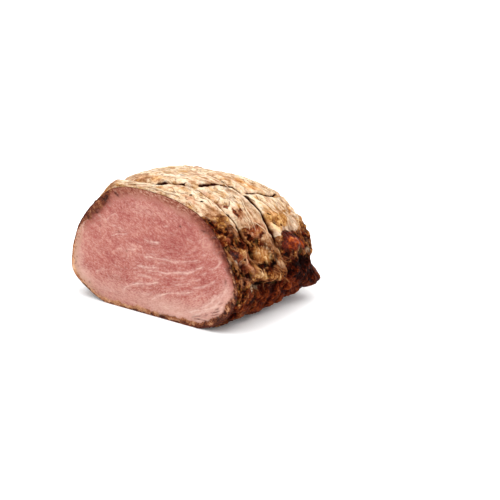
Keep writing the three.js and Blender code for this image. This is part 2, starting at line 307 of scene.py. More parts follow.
@dataclass(frozen=True)
class JointForm:
    """The smooth form of the joint and the relief that the part's source has too."""

    outline: CutOutline = field(default_factory=CutOutline)
    length: float = 123.5
    axis_x: float = -2.0
    pole_z: float = 38.0
    swell_left: float = 0.082
    swell_right: float = 0.05
    swell_up: float = 0.035
    swell_by: float = 20.0
    end_wide: Pair = (5.3, 2.0)
    end_tall: Pair = (3.5, 2.3)
    underside_lifts_from: float = 0.6
    pressed_flat: float = 1.4
    press_reach: float = 14.0
    free_by: float = 9.0
    lip_free_by: float = 2.0
    relief_end: float = 3.0
    pull_end: float = 20.0
    pull_reach: float = 15.0
    furrow_half_width: float = 2.2
    furrow_share: Course = (
        (0, 1), (95, 0.9), (110, 0.55), (162, 0.6), (183, 0.9), (195, 0.8), (207, 0.4), (238, 0.5), (253, 1),
    )
    waist_reach: float = 7.0
    seam_depth: float = 1.9
    slope_step: float = 0.5
    crag_height: float = 2.6
    crag_size: float = 11.0
    crag_finer: Triple = (0.55, 2.1, 9.0)
    crag_right: Four = (159, 193, 239, 271)
    crag_left: Four = (-42, -14, 34, 62)
    crag_end: Triple = (0.6, 100, 114)
    lump_height: float = 1.5
    lump_size: float = 30.0
    lump_offset: float = 5.0
    pleat_count: int = 9
    pleat_height: float = 1.3
    pleat_rows: Triple = (98, 112, 121)
    pleat_waver: Pair = (2.0, 17.0)
    fold: Fold = field(default_factory=Fold)
    lip: Mark = Mark(76, 8, 8, 7, 3.6)
    lumps: tuple[Mark, ...] = (
        Mark(220, 24, 8, 7, -3.6), Mark(193, 67, 7, 13, 1.8), Mark(207, 71, 7, 13, -4.0), Mark(81, 18, 8, 4.5, -1.6),
        Mark(214, 95, 6, 8, -4.5), Mark(104, 80, 9, 10, -2.0), Mark(241, 48, 9, 16, 3.5),
    )
    flap: Mark = Mark(227, 90, 8, 9, 10.0)
    flap_towards: Triple = (0.8, 0.5, -0.42)
    hoops: tuple[Hoop, ...] = (
        Hoop(19, 3.0, 1.7, (
            (0, 22), (30, 20), (60, 16), (80, 13.5), (100, 13.5), (110, 14.5), (120, 18), (130, 22.5),
            (148, 21.5), (160, 20.5), (190, 21), (205, 22), (220, 25), (250, 27), (300, 26), (345, 24),
        )),
        Hoop(52, 2.8, 1.6, (
            (0, 56), (50, 58), (90, 63), (108, 63), (122, 55), (135, 51), (147, 50.3), (190, 50),
            (205, 52), (250, 55), (300, 57), (345, 56),
        )),
        Hoop(102, 1.5, 0.5, ((0, 103), (100, 106), (150, 103), (193, 98), (243, 101), (313, 104))),
    )
    seams: tuple[Course, ...] = (
        ((105, 10), (111, 12), (115.5, 16.5), (121, 21)),
        ((128, 23), (131, 29), (132, 35), (135.5, 41.5), (139.5, 47), (142, 51)),
        ((148.5, 52), (150, 58), (152, 64), (154.5, 71), (155, 79), (154, 90), (154, 102)),
        ((72, 14), (67, 30), (71, 46), (66, 60)),
        ((93, 63), (89, 80), (94, 104)),
        ((22, 20), (27, 32), (21, 46), (26, 58)),
        ((35, 58), (31, 80), (36, 104)),
    )

    @staticmethod
    def end_share(t: Array, shape: Pair) -> Array:
        """Share of the cut face's size that is left at t, the share of the length."""
        return np.maximum(1.0 - t ** shape[0], 0.0) ** (1.0 / shape[1])

    def skin(self, a: Array, s: Array) -> Array:
        """Points of the smooth skin, before furrows and crags.

        Args:
            a: Ways round the outline.
            s: Places along the length.

        Returns:
            Points, with x, y, z last.
        """
        rim = self.outline.at(a)
        t = np.clip(s / self.length, 0.0, 1.0)
        swell = smoothstep(s, 0.0, self.swell_by)
        across = rim[..., 0] - self.axis_x
        fuller = np.where(across > 0, self.swell_right, self.swell_left)
        wide = (1 + fuller * swell) * self.end_share(t, self.end_wide)
        tall = (1 + self.swell_up * swell) * self.end_share(t, self.end_tall)
        rising = np.clip((t - self.underside_lifts_from) / (1 - self.underside_lifts_from), 0.0, 1.0)
        lift = self.pole_z * (1 - np.sqrt(1 - rising**2))
        return np.stack([self.axis_x + across * wide, s + 0 * across, lift + rim[..., 1] * tall], -1)

    def directions(self, a: Array, s: Array) -> tuple[Array, Array]:
        """Finds the skin's directions at places of it.

        Args:
            a: Ways round the outline.
            s: Places along the length.

        Returns:
            Straight out of the skin, and along it the way that a runs.
        """
        step = self.slope_step
        along = self.skin(a, np.minimum(s + step, self.length)) - self.skin(a, np.maximum(s - step, 0.0))
        around = self.skin(a + step, s) - self.skin(a - step, s)
        around /= np.linalg.norm(around, axis=-1, keepdims=True) + 1e-12
        out = np.cross(around, along)
        return out / (np.linalg.norm(out, axis=-1, keepdims=True) + 1e-12), around

    def bump(self, mark: Mark, a: Array, s: Array) -> Array:
        """Height or strength of a single mark at places of the skin."""
        return mark.amount * bell(self.outline.way_round(a, mark.a), mark.over_a) * bell(s - mark.s, mark.over_s)

    def beside(self, line: Course, a: Array, s: Array) -> tuple[Array, Array]:
        """How far places of the skin lie from a line of places.

        Args:
            line: The line's places.
            a: Ways round the outline.
            s: Places along the length.

        Returns:
            The distance, signed by the side, and the share of the line's length that is nearest.
        """
        nearest = np.full(np.broadcast(a, s).shape, np.inf)
        offset, share_along = np.zeros_like(nearest), np.zeros_like(nearest)
        runs = np.diff(np.array(line, float), axis=0)
        lengths = np.linalg.norm(runs, axis=1)
        for number, ((a0, s0), run, length) in enumerate(zip(line, runs, lengths)):
            here_a, here_s = self.outline.way_round(a, a0), s - s0
            share = np.clip((here_a * run[0] + here_s * run[1]) / length**2, 0.0, 1.0)
            away = np.hypot(here_a - share * run[0], here_s - share * run[1])
            closer = away < nearest
            side = np.sign(here_a * run[1] - here_s * run[0])
            nearest = np.where(closer, away, nearest)
            offset = np.where(closer, away * side, offset)
            reached = (lengths[:number].sum() + share * length) / lengths.sum()
            share_along = np.where(closer, reached, share_along)
        return offset, share_along

    def stray(self, a: Array, row: Array) -> Array:
        """Finds how far the hoops' courses pull the skin's rows.

        Args:
            a: Ways round the outline.
            row: Rows.

        Returns:
            The way along the length.
        """
        shift = 0.0
        for hoop in self.hoops:
            pull = self.outline.course_at(hoop.course, a) - hoop.at
            shift = shift + pull * bell(row - hoop.at, self.pull_reach)
        return shift * smoothstep(row, 0.0, self.free_by)

    def place(self, a: Array, row: Array) -> Array:
        """Places along the length that the rows come to lie at."""
        return row + self.stray(a, row) * (1 - smoothstep(row, self.length - self.pull_end, self.length))

    def crag_share(self, a: Array, s: Array) -> Array:
        """Finds how craggy the skin is: wholly so on the two browned flanks, and partly on the rounded end.

        Args:
            a: Ways round the outline.
            s: Places along the length.

        Returns:
            A share of 0..1.
        """
        half = self.outline.girth / 2
        flanks = plateau(self.outline.way_round(a, half) + half, *self.crag_right)
        flanks = flanks + plateau(self.outline.way_round(a, 0.0), *self.crag_left)
        share, start, full = self.crag_end
        return np.minimum(flanks + share * smoothstep(s, start, full), 1.0)

    def furrows(self, a: Array, row: Array, s: Array) -> Array:
        """Presses the net's furrows.

        Args:
            a: Ways round the outline.
            row: Rows, which the hoops keep to.
            s: True places along the length.

        Returns:
            Their height, which is below 0.
        """
        height = 0.0
        for hoop in self.hoops:
            height = height - hoop.depth * bell(row - hoop.at, self.furrow_half_width)
            height = height - hoop.waist * bell(row - hoop.at, self.waist_reach)
        for seam in self.seams:
            height = height - self.seam_depth * bell(self.beside(seam, a, s)[0], self.furrow_half_width)
        return height * self.outline.course_at(self.furrow_share, a)

    def coarse_relief(self, a: Array, row: Array, s: Array, point: Array) -> tuple[Array, Array]:
        """Relief that the part's source has too.

        Args:
            a: Ways round the outline.
            row: Rows, which the hoops keep to.
            s: True places along the length.
            point: Points of the smooth skin.

        Returns:
            Height above the smooth skin, and how far the fold hangs down.
        """
        p = point / self.crag_size
        finer, times, offset = self.crag_finer
        crags = Grain.smooth(p) + finer * Grain.smooth(times * p + np.array([0, offset, 0]))
        slow = Grain.smooth(point / self.lump_size + np.array([self.lump_offset, 0, 0]))
        uneven = self.crag_height * crags * self.crag_share(a, s) + self.lump_height * slow

        grow = plateau(s, *self.pleat_rows, self.length)
        waver = self.pleat_waver[0] * np.sin(a / self.pleat_waver[1])
        turns = 2 * math.pi * self.pleat_count * a / self.outline.girth
        pleats = self.pleat_height * np.sin(turns + waver) * grow

        fold = self.fold
        line = np.array(fold.line, float)
        below = self.outline.way_round(a, np.interp(s, line[:, 1], line[:, 0]))
        share = plateau(s, *fold.along)
        ridge = bell(below + fold.ridge_above, fold.ridge_over)
        hollow = bell(below - fold.hollow_below, fold.hollow_over)
        folded = (fold.ridge_height * ridge - fold.hollow_depth * hollow) * share

        single = sum(self.bump(lump, a, s) for lump in self.lumps)
        return self.furrows(a, row, s) + uneven + pleats + folded + single, fold.droop * ridge * share

    def freedom(self, s: Array) -> Array:
        """Share of the relief that a place takes: none at the cut edge and none at the pole."""
        return plateau(s, 0.0, self.free_by, self.length - self.relief_end, self.length)

    def settle(self, point: Array) -> Array:
        """Keeps points behind the cut and presses the underside flat.

        Args:
            point: Points, with x, y, z last, which this changes.

        Returns:
            The same points.
        """
        point[..., 1] = np.maximum(point[..., 1], 0.0)
        pressed = self.pressed_flat * (1 - smoothstep(point[..., 2], 0.0, self.press_reach))
        point[..., 2] = np.maximum(point[..., 2] - pressed, 0.0)
        return point


# The marks of netting and roasting on the skin


@dataclass(frozen=True)
class Crack:
    """Narrow split along the bottom of a furrow, where the fat gave way; its dark line is partly the roasted inside and
    partly painted shade.
    """

    line: Course
    half_width: float
    depth: float
    dark: float


@dataclass(frozen=True)
class SkinMarks:
    """Where the skin is fat, toasted, charred and so on, and where it has split."""

    fat_right: Course = (
        (-10, 156), (3, 156), (12, 158), (16, 168), (21, 173), (24, 175), (30, 178), (38, 182), (48, 185.5),
        (58, 185), (75, 188), (90, 184), (105, 184), (125, 170),
    )
    fat_left: Course = ((-10, 62), (10, 60), (30, 50), (70, 44), (100, 50), (130, 70))
    ragged_by: float = 2.4
    ragged_size: float = 8.0
    straying: float = 5.0
    straying_size: float = 24.0
    singed: float = 0.75
    singed_in: float = 3.5
    singed_over: float = 5.0
    tanned_in: float = 10.5
    tanned_over: float = 7.0
    border_soft: float = 2.5
    back_by: Pair = (78, 100)
    spots: dict[Zone, Spots] = field(default_factory=lambda: {
        Zone.FAT: (
            (172, 19, 3, 3, 0.5), (30, 60, 14, 12, 0.35), (192, 36, 5, 8, 0.35), (216, 17, 3, 5, 0.5),
            (68, 10, 6, 6, -0.9), (76, 4, 8, 3, 0.7),
        ),
        Zone.TAN: (
            (84, 21, 6, 8, 0.9), (91, 21, 4, 7, 0.8), (107, 32, 4, 3, 0.6), (114, 45, 8, 4, 0.5),
            (121, 17, 5, 4, 0.5), (134, 38, 4, 9, 0.6), (157, 10, 6, 7, 0.8), (165, 30, 6, 6, 0.9),
            (172, 33, 3.5, 6, 0.6), (92, 6, 8, 4, 0.4), (136, 6, 6, 4, 0.5), (173, 31, 4, 8, 0.5),
            (181, 40, 7, 12, 0.8), (174, 15, 5, 5, 0.5), (165, 44, 9, 3, 0.4), (177, 56, 7, 4, 0.6),
            (174, 78, 3, 8, 0.6), (168, 74, 2, 14, 0.5), (68, 50, 10, 14, 0.5), (50, 30, 10, 12, 0.6),
            (196, 46, 8, 8, 0.5), (150, 95, 16, 8, 0.4), (128, 66, 4, 5, 0.4), (84, 92, 14, 10, 0.5),
            (150, 12, 4, 9, 0.35), (146, 40, 3, 6, 0.4),
        ),
        Zone.GOLDEN: (
            (101, 20, 7, 4.5, 0.8), (115, 6, 3, 2.5, 0.6), (136, 65, 4.5, 6, 1), (146, 67, 4, 6, 0.8),
            (119, 63, 7, 6, 0.5), (195, 31, 6, 8, 0.7), (202, 19, 4, 2.5, 0.9), (184, 93, 4, 8, 0.8),
            (86, 56, 7, 5, 0.5), (179, 60, 6, 9, 1), (175, 67, 5, 9, 0.9), (171, 58, 5, 5, 0.5),
            (60, 84, 10, 10, 0.4), (108, 94, 14, 8, 0.5), (166, 84, 5, 8, 0.4), (142, 24, 5, 3, 0.4),
        ),
        Zone.PINK: (
            (138, 7, 7, 3, 0.6), (127, 60, 4, 3, 0.6), (177, 6, 2.5, 2.5, 0.9), (194, 14, 4, 5, 0.8),
            (170, 21, 3, 3, 0.4), (179, 33, 3.4, 9, 1), (199, 12, 3, 5, 0.7), (160, 39, 4, 2.5, 0.4),
            (207, 8, 4, 5, 0.5), (152, 72, 5, 4, 0.3), (185, 72, 2.5, 10, 0.5),
        ),
        # Pale silverskin; the spots at (178, 84), (184, 73) and (192, 5) are painted highlights, where the glossy fat
        # would shine
        Zone.PALE_AND_HIGHLIGHT: (
            (115, 44, 7, 3, 0.5), (86, 38, 4, 3, 0.6), (160, 42, 12, 6, 0.85), (150, 46, 5, 4, 0.5),
            (171, 30, 2.5, 7, 0.6), (178, 84, 2.6, 4.5, 1.4), (184, 73, 2.2, 12, 1.4), (204, 86, 1.8, 1.8, 0.9),
            (192, 5, 2.5, 1.5, 0.8), (216, 17, 2, 5, 0.6), (221, 25, 1.6, 4, 0.5), (120, 15, 3, 3, 0.4),
            (100, 46, 8, 4, 0.3), (60, 84, 8, 8, 0.4),
        ),
        Zone.TOASTED: (
            (164, 9, 6, 6, 0.55), (170, 88, 2.5, 7, 1.1), (185, 96, 4, 8, 1.2), (169, 76, 1.8, 13, 0.5),
            (177, 66, 1.8, 7, 0.7), (178, 62, 5, 8, 0.9), (174, 69, 3, 6, 0.7), (173, 55, 4, 2.5, 0.45),
            (186, 92, 2.5, 7, 0.7), (84, 92, 12, 9, 0.4), (70, 60, 12, 12, 0.4), (56, 30, 8, 12, 0.5),
            (110, 101, 18, 6, 0.45), (181, 34, 3, 6, 0.45), (88, 16, 3, 3, 0.4),
        ),
        # Dark red meat; the wide spots from a = 222 on also paint shade on the lower flank and the flap, under the
        # overhang
        Zone.RUDDY: (
            (157, 24, 1.3, 1.3, 1.4), (163.5, 26, 3.2, 1.1, 1.2), (162, 31, 4, 3.5, 0.5), (177, 32, 1.6, 8, 0.9),
            (182.5, 36, 1.4, 5, 0.7), (168, 5, 3, 4, 0.6), (189, 6, 6, 3, 1), (187.5, 68, 2.2, 13, 0.9),
            (67, 11, 6, 5, 1), (190, 94, 5, 8, 0.9), (230, 25, 9, 20, 1), (226, 62, 10, 20, 1), (215, 60, 3, 8, 0.7),
            (222, 80, 11, 14, 1.2), (241, 60, 9, 30, 1), (232, 98, 10, 12, 0.9), (10, 40, 12, 20, 0.6),
            (217, 14, 5, 4, 0.5),
        ),
        # Char; the spots at (211.5, 72) and (220, 78) also paint shade into the deep recess under the glaze
        Zone.CHARRED: (
            (163, 3, 1.2, 1.2, 1), (168, 6, 1.5, 1.8, 1), (172, 8, 1.6, 2, 1), (184, 15.5, 3, 2.6, 1.2),
            (136, 6, 0.8, 1, 1.1), (137.5, 11, 0.8, 1, 1), (145, 10.5, 0.8, 1, 1.1), (178, 54, 1.4, 1.2, 1),
            (171, 57, 1.2, 1.2, 0.9), (180, 59, 1.2, 1.2, 0.9), (181, 24.5, 1.6, 1.6, 1.2),
            (185.5, 22.5, 1.2, 1.2, 1.1), (201.5, 26, 1.5, 5, 1.1), (204.5, 34, 1.5, 5, 1.1), (209, 51, 1.8, 6, 1.1),
            (211.5, 72, 6, 14, 1.2), (200, 60, 2, 3, 0.7), (220, 78, 9, 12, 0.7), (185, 16, 2.5, 3, 1),
            (190, 6, 2, 2, 0.8), (228, 20, 5, 6, 0.8), (195, 93, 4, 6, 0.6), (76, 9, 1, 0.8, 1.1),
            (12, 84, 10, 10, 0.5), (197.5, 2.4, 1.7, 1, 1.1), (200.5, 4.8, 1.2, 1.2, 1.1),
            (206.5, 6.4, 1.6, 1.2, 1.1), (203, 9, 1.2, 1.6, 1), (209.5, 3, 2.2, 1, 1), (195, 9.5, 1.2, 1.3, 0.9),
            (214, 10, 2.2, 2, 1), (30, 14, 8, 7, 0.5), (190, 46, 2, 3, 0.6), (213, 42, 3, 4, 0.7),
            (206, 12, 2, 3, 0.7), (62, 14, 3, 4, 0.6), (226, 40, 5, 8, 0.5),
        ),
        # The glaze; its colour grows lighter and more orange towards the middle of a spot, partly as painted highlight
        Zone.AMBER: (
            (193.5, 65, 4.6, 11, 1.3), (198.5, 77, 3, 6, 1), (201, 19, 1.3, 1.3, 1), (30, 96, 6, 8, 0.6),
        ),
        Zone.WET: (
            (179, 84, 3, 4, 1), (192.5, 65, 4, 8, 1), (158, 43, 10, 6, 0.3), (184, 74, 2.2, 12, 0.9),
            (193, 34, 2, 1.5, 0.8), (189, 6, 5, 3, 0.5),
        ),
    })
    cracks: tuple[Crack, ...] = (
        Crack(((104.5, 12.8), (110, 14), (114, 14.6), (118.5, 16.9), (121.5, 19.5), (122.5, 23)), 1.3, 1.65, 1.0),
        Crack(((130.5, 26), (132, 34), (134.5, 40), (139, 47), (141, 50)), 1.0, 1.8, 1.0),
        Crack(((149, 53.5), (151, 60), (152.5, 65), (154.5, 71), (155, 79), (153.5, 86), (152, 93)), 0.6, 1.2, 0.9),
        Crack(((71, 16), (67, 30), (71, 44)), 0.8, 1.2, 0.8),
        Crack(((93, 67), (89, 80), (93, 100)), 0.8, 1.2, 0.9),
    )
    hoop_cracks: tuple[Course, ...] = (
        (
            (0, 0.8), (60, 0.5), (76, 0.3), (95, 0), (118, 0), (124, 0.4), (135, 0.3), (150, 0.3), (159, 0.35),
            (161.5, 0.75), (164, 0.3), (169, 0.3), (172, 0.6), (186, 0.55), (190, 0.1), (200, 0.2), (230, 0.3),
            (300, 0.6), (345, 0.6),
        ),
        (
            (0, 0.8), (60, 0.8), (95, 0.4), (120, 0.3), (136, 0.4), (140, 1.0), (150, 1.0), (165, 0.8), (187, 0.7),
            (192, 0.25), (205, 0.3), (300, 0.6), (345, 0.6),
        ),
        ((0, 0.5), (100, 0.4), (150, 0.4), (190, 0.5), (300, 0.5)),
    )
    crack_depth: float = 1.8
    hoop_opens: Pair = (0.2, 1.0)
    # Moves each split's dark line towards its far wall, where it stands as painted shade for the overhang's shadow
    dark_shift: float = 0.55
    near_slope: float = 2.4
    far_slope: float = 0.75
    seam_ends: float = 0.06
    seam_reach: float = 2.8
    seam_waver_size: float = 2.3
    hoop_waver_size: float = 3.1
    width_waver: float = 0.35
    course_waver: float = 0.25
    course_waver_size: float = 3.0
    strands: tuple[Course, ...] = (
        ((180, 0.8), (185.3, 1.1), (191, 2.6), (195, 4.2), (199, 6)), ((199, 20), (202, 27), (205, 34), (209, 40)),
        ((197, 18), (201, 17), (206, 20)), ((207, 22), (212, 30), (219, 35)), ((200, 42), (203, 50), (206, 58)),
        ((204, 42), (208, 56)), ((210, 46), (216, 51), (222, 58)), ((214, 12), (218, 22)), ((220, 22), (223, 29)),
        ((186, 2), (193, 3), (202, 3)), ((105, 4), (125, 3), (140, 7)), ((88, 3), (100, 6), (112, 5)),
        ((138, 14), (148, 17), (158, 15)), ((172, 22), (180, 22.5), (188, 23.5)), ((185, 14), (192, 17), (198, 24)),
    )
    named_strand_width: float = 1.3
    strand_count: int = 130
    strand_seed: int = 5
    strand_from: Pair = (64, 2.5)
    strand_to: Pair = (238, 104)
    strand_long: Pair = (5, 19)
    strand_steps: int = 4
    strand_heading: float = 0.12
    strand_scatter: Pair = (0.3, 0.45)
    strand_scatter_more_past: float = 185
    strand_bend: float = 0.22
    strand_widths: Pair = (0.5, 1.1)
    strand_thinner_past: float = 212
    strand_thinner: float = 0.5
    strand_ends: float = 0.2
    strand_reach: float = 2.0
    strand_height: float = 0.35
    strand_relief_half: float = 0.8
    strand_half_width: float = 0.34


@dataclass(frozen=True)
class FineRelief:
    """Relief too fine for the part's source: pebbled crust, crinkled fat, ragged cut edge."""

    flow_size: float = 14.0
    flow_by: float = 3.5
    warp_size: float = 6.0
    lump_size: float = 6.0
    lump_height: float = 1.15
    lump_warp: float = 2.5
    shred: Pair = (7.0, 2.0)
    shred_height: float = 0.55
    shred_warp: float = 4.0
    toast_size: float = 7.0
    toast_height: float = 0.9
    toast_warp: float = 2.0
    crinkle: Pair = (9.0, 3.4)
    crinkle_height: float = 0.6
    crinkle_warp: float = 1.5
    ridge_share: float = 0.7
    ridge_finer: float = 0.8
    ridge_warp: float = 2.5
    dimple_size: float = 4.0
    dimple_height: float = 0.35
    smoother_pale: float = 0.6
    amber_as_pale: float = 0.6
    smoother_amber: float = 0.5
    free_from: float = 2.0
    free_until: Pair = (4.0, 0.5)
    hollow_reach: int = 3
    hollow_passes: int = 3
    edge_inset: float = 0.45
    edge_round: float = 1.6
    edge_ragged: Course = (
        (0, 0.6), (34, 0.8), (46, 1.5), (64, 1.3), (78, 0.7), (100, 0.5), (180, 0.6), (200, 1), (225, 1.2),
        (260, 1.2), (300, 1.4), (335, 1.3), (371, 0.9),
    )
    edge_ragged_size: float = 4.0


class SkinSurface:
    """The finished skin of the joint as a grid of points, with its masks."""

    def __init__(self, form: JointForm, marks: SkinMarks, relief: FineRelief, a: Array, rows: Array) -> None:
        """Works the whole grid out.

        Args:
            form: The coarse form.
            marks: Where the skin differs.
            relief: Sizes of the fine relief.
            a: Ways round the outline, one a column.
            rows: Rows along the length, the pole not included.
        """
        self.form, self.marks, self.relief = form, marks, relief
        self.a, self.row = np.meshgrid(a, rows)
        self.s = form.place(self.a, self.row)
        self.smooth = form.skin(self.a, self.s)
        self.roll = self.rolled_out()
        self.masks = self.read_masks()
        self.points, self.height = self.raise_relief()
        # The finish paints shade into the hollows and light onto the crests that this finds
        self.masks["cavity"] = self.cavity()

    def rolled_out(self) -> Array:
        """Skin coordinates without a join: round a circle as long as the outline, and along the length."""
        radius = self.form.outline.girth / (2 * math.pi)
        return np.stack([radius * np.cos(self.a / radius), radius * np.sin(self.a / radius), self.s], -1)

    def flowing(self) -> Array:
        """Skin coordinates that wander a little, so that streaks drawn in them bend."""
        drift = [Grain.layered(self.smooth / self.relief.flow_size, 2, 0.5, offset) for offset in (5.0, 50.0, 90.0)]
        return self.roll + self.relief.flow_by * np.stack(drift, -1)

    def read_masks(self) -> dict[str, Array]:
        """Works out where the skin is what.

        Returns:
            One array of 0..1 a zone, by its name, and those of the splits and strands.
        """
        marks = self.marks
        shift = [Grain.layered(self.smooth / marks.ragged_size, 3, 0.6, offset) * marks.ragged_by
                 for offset in (3.1, 41.7)]
        a, s = self.a + shift[0], self.s + shift[1]
        masks = {zone.value: sum(self.form.bump(Mark(*spot), a, s) for spot in marks.spots[zone]) for zone in Zone}
        self.lay_fat(masks, a, s)
        for name, (offset, width) in {**self.open_splits(), "strand": self.lay_strands()}.items():
            masks[f"{name}_offset"], masks[f"{name}_width"] = offset, width
        return masks

    def lay_fat(self, masks: dict[str, Array], a: Array, s: Array) -> None:
        """Lays the fat cap over the top, scorched along its border on the left and at the back.

        Args:
            masks: The zones' masks, which this adds to.
            a: Ways round the outline, moved so that borders are ragged.
            s: Places along the length, moved likewise.
        """
        marks, way_round = self.marks, self.form.outline.way_round
        right, left = (np.array(course, float) for course in (marks.fat_right, marks.fat_left))
        back = smoothstep(s, *marks.back_by)
        stray = marks.straying * Grain.layered(self.smooth / marks.straying_size, 2, 0.5, 17.0)
        from_right = way_round(np.interp(s, right[:, 0], right[:, 1]), a) + stray * back
        from_left = way_round(a, np.interp(s, left[:, 0], left[:, 1])) + stray
        capped = smoothstep(np.minimum(from_right, from_left), -marks.border_soft, marks.border_soft)
        masks[Zone.FAT.value] = np.clip(capped + masks[Zone.FAT.value], 0, 1)
        at_right, at_left = (bell(away - marks.singed_in, marks.singed_over) for away in (from_right, from_left))
        masks[Zone.TOASTED.value] += marks.singed * np.maximum(back * at_right, at_left)
        masks[Zone.TAN.value] += marks.singed * bell(from_left - marks.tanned_in, marks.tanned_over)

    def nothing_near(self) -> tuple[Array, Array]:
        """Distance and half width where no line is near."""
        return np.full_like(self.a, FAR), np.zeros_like(self.a)

    def nearer(self, line: tuple[Array, Array], away: Array, width: Array) -> tuple[Array, Array]:
        """Signed distance and half width of whichever of two lines is nearer."""
        closer = np.abs(away) < np.abs(line[0])
        return np.where(closer, away, line[0]), np.where(closer, width, line[1])

    def open_splits(self) -> dict[str, tuple[Array, Array]]:
        """Opens the splits in the seams and the hoops' furrows.

        Returns:
            For each of the two kinds, the signed distance from the nearest one and its half width there.
        """
        form, marks = self.form, self.marks
        seam = hoop = self.nothing_near()
        self.crack = np.zeros_like(self.a)
        waver = 1 + marks.width_waver * Grain.smooth(self.smooth / marks.seam_waver_size)
        for split in marks.cracks:
            away, share = form.beside(split.line, self.a, self.s)
            away = -away - marks.dark_shift * split.half_width
            taper = plateau(share, 0.0, marks.seam_ends, 1.0 - marks.seam_ends, 1.0)
            seam = self.nearer(seam, away, split.half_width * taper * waver * split.dark)
            self.crack = np.maximum(self.crack, split.depth * self.step_down(away) * taper)
        waver = 1 + marks.width_waver * Grain.smooth(self.smooth / marks.hoop_waver_size + 7)
        stray = marks.course_waver * Grain.smooth(self.smooth / marks.course_waver_size)
        for ring, course in zip(form.hoops, marks.hoop_cracks):
            half = form.outline.course_at(course, self.a) * waver
            away = self.row - ring.at + stray - marks.dark_shift * half
            hoop = self.nearer(hoop, away, half)
            opened = smoothstep(half, *marks.hoop_opens) * self.step_down(away)
            self.crack = np.maximum(self.crack, marks.crack_depth * opened)
        return {"seam": (seam[0], np.where(np.abs(seam[0]) < marks.seam_reach, seam[1], 0.0)), "hoop": hoop}

    def lay_strands(self) -> tuple[Array, Array]:
        """Lays fine strands of fat and sinew over the skin, the named ones and others between them.

        Returns:
            The signed distance from the nearest strand, and its half width there.
        """
        marks = self.marks
        generator = np.random.default_rng(marks.strand_seed)
        lines = [(line, marks.named_strand_width) for line in marks.strands]
        for _ in range(marks.strand_count):
            place = generator.uniform(marks.strand_from, marks.strand_to)
            step = generator.uniform(*marks.strand_long) / marks.strand_steps
            scatter = marks.strand_scatter[int(place[0] >= marks.strand_scatter_more_past)]
            heading = generator.normal(marks.strand_heading, scatter)
            line = [tuple(place)]
            for _ in range(marks.strand_steps):
                heading += generator.normal(0, marks.strand_bend)
                place = place + step * np.array([math.cos(heading), math.sin(heading)])
                line.append(tuple(place))
            thinner = 1.0 if line[0][0] < marks.strand_thinner_past else marks.strand_thinner
            lines.append((tuple(line), generator.uniform(*marks.strand_widths) * thinner))
        strand = self.nothing_near()
        for line, times in lines:
            away, share = self.form.beside(line, self.a, self.s)
            taper = plateau(share, 0.0, marks.strand_ends, 1.0 - marks.strand_ends, 1.0)
            strand = self.nearer(strand, -away, times * taper * marks.strand_half_width)
        return strand[0], np.where(np.abs(strand[0]) < marks.strand_reach, strand[1], 0.0)

    def step_down(self, away: Array) -> Array:
        """Profile of a split: the fat slopes down to it from the near side and stands up steeply on the far one."""
        return bell(away, np.where(away < 0, self.marks.near_slope, self.marks.far_slope))

    def fine_height(self) -> Array:
        """Works out the fine relief: pebbled crust where the skin is browned, crinkles where it is fat.

        Returns:
            Its height.
        """
        relief, p = self.relief, self.smooth
        fat, pale, amber, toasted = (
            self.masks[zone.value] for zone in (Zone.FAT, Zone.PALE_AND_HIGHLIGHT, Zone.AMBER, Zone.TOASTED))
        warp = np.stack([Grain.smooth(p / relief.warp_size + offset) for offset in (0.0, 31.0, 63.0)], -1)
        shreds, stretch = (1 / np.array([long, long, short]) for long, short in (relief.shred, relief.crinkle))

        crust = relief.lump_height * Grain.crags((p + relief.lump_warp * warp) / relief.lump_size, 4, 0.55)
        shred_place = (self.roll + relief.shred_warp * warp) * shreds
        crust = crust + relief.shred_height * Grain.layered(shred_place, 3, 0.6, 21.0)

        streaks = Grain.layered((self.roll + relief.crinkle_warp * warp) * stretch, 3, 0.6)
        ridge_place = (self.roll + relief.ridge_warp * warp) * stretch * relief.ridge_finer
        ridges = 1 - np.abs(Grain.layered(ridge_place, 2, 0.5, 5.0))
        dimples = Grain.layered(p / relief.dimple_size, 3)
        crinkles = relief.crinkle_height * (streaks + relief.ridge_share * ridges**3) + relief.dimple_height * dimples
        blisters = Grain.crags((p + relief.toast_warp * warp) / relief.toast_size, 3, 0.5, 13.0)
        crinkles = crinkles + relief.toast_height * np.clip(toasted, 0, 1) * blisters

        calm = 1 - relief.smoother_pale * np.clip(pale + relief.amber_as_pale * amber, 0, 1)
        glazed = 1 - relief.smoother_amber * np.clip(amber, 0, 1)
        return (crust * (1 - fat) * glazed + crinkles * fat) * calm

    def raise_relief(self) -> tuple[Array, Array]:
        """Raises the relief on the smooth skin.

        Returns:
            The points, with x, y, z last, and the height at each.
        """
        form, relief = self.form, self.relief
        out, around = form.directions(self.a, self.s)
        coarse, droop = form.coarse_relief(self.a, self.row, self.s, self.smooth)
        free = form.freedom(self.s)
        fade, end = (form.length - inset for inset in relief.free_until)
        fine_free = plateau(self.s, 0.0, relief.free_from, fade, end)
        strand = bell(self.masks["strand_offset"], self.marks.strand_relief_half) * self.masks["strand_width"]
        fine = self.fine_height() - self.crack + self.marks.strand_height * strand / self.marks.strand_half_width
        height = coarse * free + fine * fine_free
        lip = form.bump(form.lip, self.a, self.s) * smoothstep(self.s, 0.0, form.lip_free_by)
        ragged = Grain.layered(self.smooth / relief.edge_ragged_size, 3, 0.6, 8.0)
        ragged = ragged * form.outline.course_at(relief.edge_ragged, self.a)
        edge = (relief.edge_inset - ragged) * (1 - smoothstep(self.s, 0.0, relief.edge_round)) ** 2
        total = height + lip - edge
        points = self.smooth + out * total[..., None] + around * (droop * free)[..., None]
        flap = form.bump(form.flap, self.a, self.s)
        points = points + flap[..., None] * np.array(form.flap_towards)
        return form.settle(points), height

